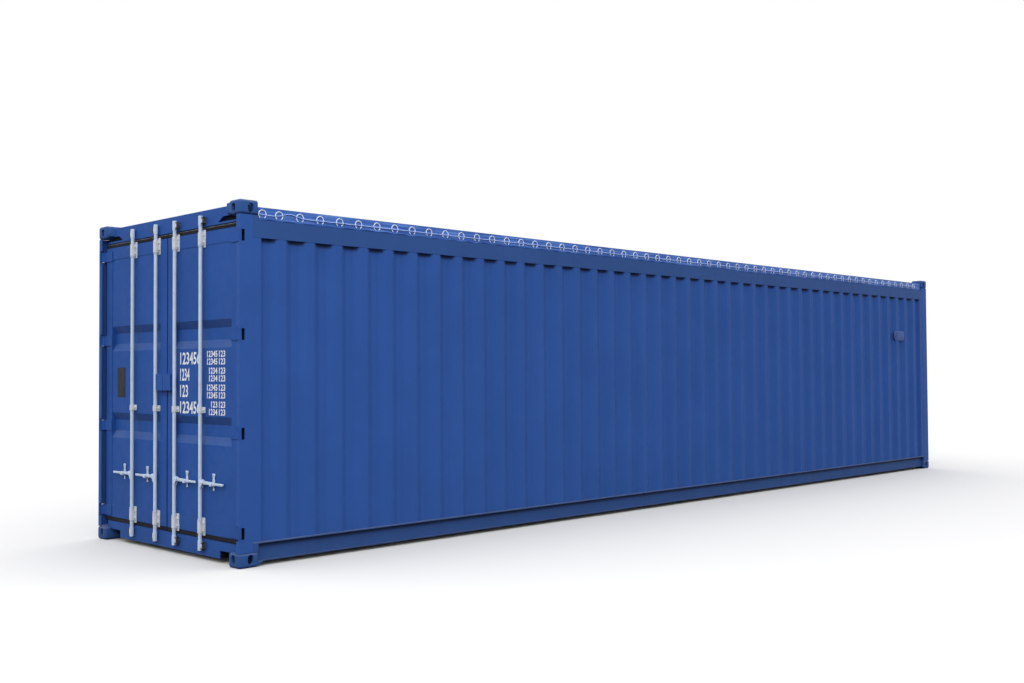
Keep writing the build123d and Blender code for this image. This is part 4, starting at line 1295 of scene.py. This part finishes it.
class CONTAINER_OT_markings(bpy.types.Operator):
    """Paint plain rows of counting numbers on the right door"""

    bl_idname = "container.markings"
    bl_label = "Plain markings"

    rows = (("123456", 0.330), ("1234", 0.155), ("123", 0.130), ("123456", 0.330))
    figures = (("12345", "12345"), ("1234", "1234"), ("12345", "12345"), ("123", "1234"))
    first_row = 1.653
    row_pitch = 0.137
    label_start = -0.213
    label_height = 0.105
    figure_end = -0.810
    figure_width = 0.032
    unit = ("123", -0.835, 0.095)
    figure_height = 0.052
    figure_gap = 0.062
    stroke = 0.018
    coat = 0.0003
    stand_out = 0.0006

    def execute(self, context):
        unit, unit_start, unit_width = self.unit
        shape = bmesh.new()
        for row, (label, width) in enumerate(self.rows):
            z = self.first_row - row * self.row_pitch
            self.add_text(shape, label, self.label_start, z, width, self.label_height)
            for words, half in zip(self.figures[row], (0.5, -0.5)):
                level = z + half * self.figure_gap
                width = len(words) * self.figure_width
                self.add_text(shape, words, self.figure_end + width, level, width, self.figure_height)
                self.add_text(shape, unit, unit_start, level, unit_width, self.figure_height)
        weld(shape)
        finish_piece("door_markings", shape, "marking", "right_door", smooth_below=0.0)
        return {"FINISHED"}

    def add_text(self, shape, words, start, z, width, height):
        """Adds one line of a given size that reads from left to right as the doors are faced."""
        text = bpy.data.curves.new("words", "FONT")
        text.body = words
        text.offset = self.stroke
        text.extrude = self.coat
        text.resolution_u = 2
        holder = add_object("words", text)
        mesh = evaluated_mesh(holder)
        bpy.data.objects.remove(holder)
        spots = [vert.co for vert in mesh.vertices]
        left, right = min(spot.x for spot in spots), max(spot.x for spot in spots)
        low, high = min(spot.y for spot in spots), max(spot.y for spot in spots)
        scale = Matrix.Diagonal((width / (right - left), height / (high - low), 1, 1))
        x = PANEL_FACE - self.stand_out
        face = Matrix(((0, 0, -1, x), (-1, 0, 0, start), (0, 1, 0, z - height / 2), (0, 0, 0, 1)))
        mesh.transform(face @ scale @ Matrix.Translation((-left, -low, 0)))
        add_mesh(shape, mesh)


class CONTAINER_OT_plate(bpy.types.Operator):
    """Rivet a bare plate to the left door"""

    bl_idname = "container.plate"
    bl_label = "Bare plate"

    middle = (0.8515, 1.4475)
    size = (0.147, 0.269)
    thickness = 0.003
    border = 0.008
    field = 0.0006
    edge = 0.001
    field_edge = 0.0003
    rivet_margin = 0.014
    rivet = (0.005, 0.003, 10)

    def execute(self, context):
        shape = bmesh.new()
        front = PANEL_FACE - self.thickness
        self.add_layer(shape, 0.0, front, PANEL_FACE, self.edge)
        self.add_layer(shape, self.border, front - self.field, front, self.field_edge)
        for y, z in self.corners(self.rivet_margin):
            add_bolt(shape, (front, y, z), *self.rivet)
        finish_piece("bare_door_plate", shape, "plate", "left_door", smooth_below=0.0)
        return {"FINISHED"}

    def corners(self, margin):
        return rectangle(*self.middle, *(reach - 2 * margin for reach in self.size))

    def add_layer(self, shape, margin, front, back, edge):
        low, high = self.corners(margin)[::2]
        add_block(shape, (front, *low), (back, *high), edge, 1)


class CONTAINER_OT_vent(bpy.types.Operator):
    """Fix a small louvred air vent to the right wall, near the front"""

    bl_idname = "container.vent"
    bl_label = "Air vent"

    middle = (5.160, 2.0265)
    size = (0.320, 0.143)
    corner = 0.055
    thickness = 0.003
    slat_insets = (0.055, 0.030, 0.030, 0.055)
    slat_share = 0.32
    slat_out = 0.0018
    slat_sink = 0.001
    slat_edge = 0.0012
    rim = 0.0012
    margin = 0.015

    def execute(self, context):
        wall = -WALL_HIGH.y
        face = wall - self.thickness
        (x, z), (width, height) = self.middle, self.size
        shape = bmesh.new()
        add_plate(shape, rectangle(x, z, width, height), face, wall, UPRIGHT_ALONG, self.corner, self.rim)
        pitch = (height - 2 * self.margin) / len(self.slat_insets)
        for i, inset in enumerate(self.slat_insets):
            level = z - height / 2 + self.margin + (i + 0.5) * pitch
            reach, half = width / 2 - inset, pitch * self.slat_share
            add_block(shape, (x - reach, face - self.slat_out, level - half),
                      (x + reach, face + self.slat_sink, level + half), self.slat_edge)
        finish_piece("side_air_vent", shape, "vent", "container")
        return {"FINISHED"}


class CONTAINER_OT_stage(bpy.types.Operator):
    """Set the floor, the light and the camera"""

    bl_idname = "container.stage"
    bl_label = "Stage"

    floor_half = 150.0
    floor_bounce = (0.04, 0.04, 0.04)
    floor_seen = (0.62, 0.62, 0.62)
    sky_shares = (0.8, 1.25)
    key_place = (-11.5, -7.0, 6.5)
    key_aim = (-3.8, -0.5, 1.4)
    key_size = 5.0

    def execute(self, context):
        self.floor()
        self.sky()
        self.key_light()
        self.camera()
        bpy.context.scene.view_settings.view_transform = "Standard"
        return {"FINISHED"}

    def floor(self):
        shape = bmesh.new()
        bmesh.ops.create_grid(shape, x_segments=1, y_segments=1, size=self.floor_half)
        floor = add_object("floor_sheet", mesh_from("floor_sheet", shape))
        material, tree, shader = new_material("pale_floor")
        tone = mix_colour(tree, seen_directly(tree), self.floor_bounce, self.floor_seen)
        set_surface(tree, shader, tone, 1.0, 0.0)
        floor.data.materials.append(material)

    def sky(self):
        world = bpy.data.worlds.new("white_studio")
        bpy.context.scene.world = world
        world.use_nodes = True
        tree = world.node_tree
        back = tree.nodes["Background"]
        feed(tree, back.inputs["Color"], (1.0, 1.0, 1.0))
        low, high = (share * looks().sky_level for share in self.sky_shares)
        overcast = map_range(tree, part_of(tree, coordinates(tree, "Generated"), "Z"), 0.0, 1.0, low, high)
        level = tree.nodes.new("ShaderNodeMix")
        for index, value in ((0, seen_directly(tree)), (2, overcast), (3, 1.0)):
            feed(tree, level.inputs[index], value)
        feed(tree, back.inputs["Strength"], level.outputs[0])

    def key_light(self):
        lamp = bpy.data.lights.new("key_light", "AREA")
        lamp.energy = looks().key_power
        lamp.size = self.key_size
        key = add_object("key_light", lamp)
        key.location = self.key_place
        key.rotation_euler = (Vector(self.key_aim) - key.location).to_track_quat("-Z", "Y").to_euler()
        key.visible_camera = False

    def camera(self):
        yaw, pitch, roll = (math.radians(a) for a in (CAMERA_YAW, CAMERA_PITCH, CAMERA_ROLL))
        ahead = Vector((math.cos(pitch) * math.cos(yaw), math.cos(pitch) * math.sin(yaw), math.sin(pitch)))
        flat_right = ahead.cross(Vector((0, 0, 1))).normalized()
        flat_up = flat_right.cross(ahead)
        right = math.cos(roll) * flat_right + math.sin(roll) * flat_up
        up = math.cos(roll) * flat_up - math.sin(roll) * flat_right
        data = bpy.data.cameras.new("photo_camera")
        data.sensor_width = 36.0
        data.lens = CAMERA_LENS
        data.clip_end = 500.0
        camera = add_object("photo_camera", data)
        turned = Matrix((right, up, -ahead)).transposed().to_4x4()
        camera.matrix_world = Matrix.Translation(CAMERA_PLACE) @ turned
        bpy.context.scene.camera = camera


OPERATORS = (
    CONTAINER_OT_cad_finish,
    CONTAINER_OT_castings,
    CONTAINER_OT_gussets,
    CONTAINER_OT_lock_rods,
    CONTAINER_OT_handles,
    CONTAINER_OT_hooks,
    CONTAINER_OT_brackets,
    CONTAINER_OT_keepers,
    CONTAINER_OT_gasket_lips,
    CONTAINER_OT_shade_liners,
    CONTAINER_OT_tarpaulin,
    CONTAINER_OT_rings,
    CONTAINER_OT_cable,
    CONTAINER_OT_markings,
    CONTAINER_OT_plate,
    CONTAINER_OT_vent,
    CONTAINER_OT_stage,
)


class CONTAINER_PT_panel(bpy.types.Panel):
    """Container pieces and finishes"""

    bl_idname = "CONTAINER_PT_panel"
    bl_label = "Container"
    bl_space_type = "VIEW_3D"
    bl_region_type = "UI"
    bl_category = "Container"

    def draw(self, context):
        for name in ContainerLooks.__annotations__:
            self.layout.prop(context.scene.container_looks, name)
        for operator in OPERATORS:
            self.layout.operator(operator.bl_idname)


CLASSES = (ContainerLooks, *OPERATORS, CONTAINER_PT_panel)


def register():
    for item in CLASSES:
        bpy.utils.register_class(item)
    bpy.types.Scene.container_looks = bpy.props.PointerProperty(type=ContainerLooks)


def unregister():
    del bpy.types.Scene.container_looks
    for item in reversed(CLASSES):
        bpy.utils.unregister_class(item)


def main():
    register()
    bpy.ops.container.cad_finish()
    bpy.ops.container.castings()
    bpy.ops.container.gussets()
    bpy.ops.container.lock_rods()
    bpy.ops.container.handles()
    bpy.ops.container.hooks()
    bpy.ops.container.brackets()
    bpy.ops.container.keepers()
    bpy.ops.container.gasket_lips()
    bpy.ops.container.hollows()
    bpy.ops.container.tarpaulin()
    bpy.ops.container.rings()
    bpy.ops.container.cable()
    bpy.ops.container.markings()
    bpy.ops.container.plate()
    bpy.ops.container.vent()
    bpy.ops.container.stage()


if __name__ == "__main__":
    main()
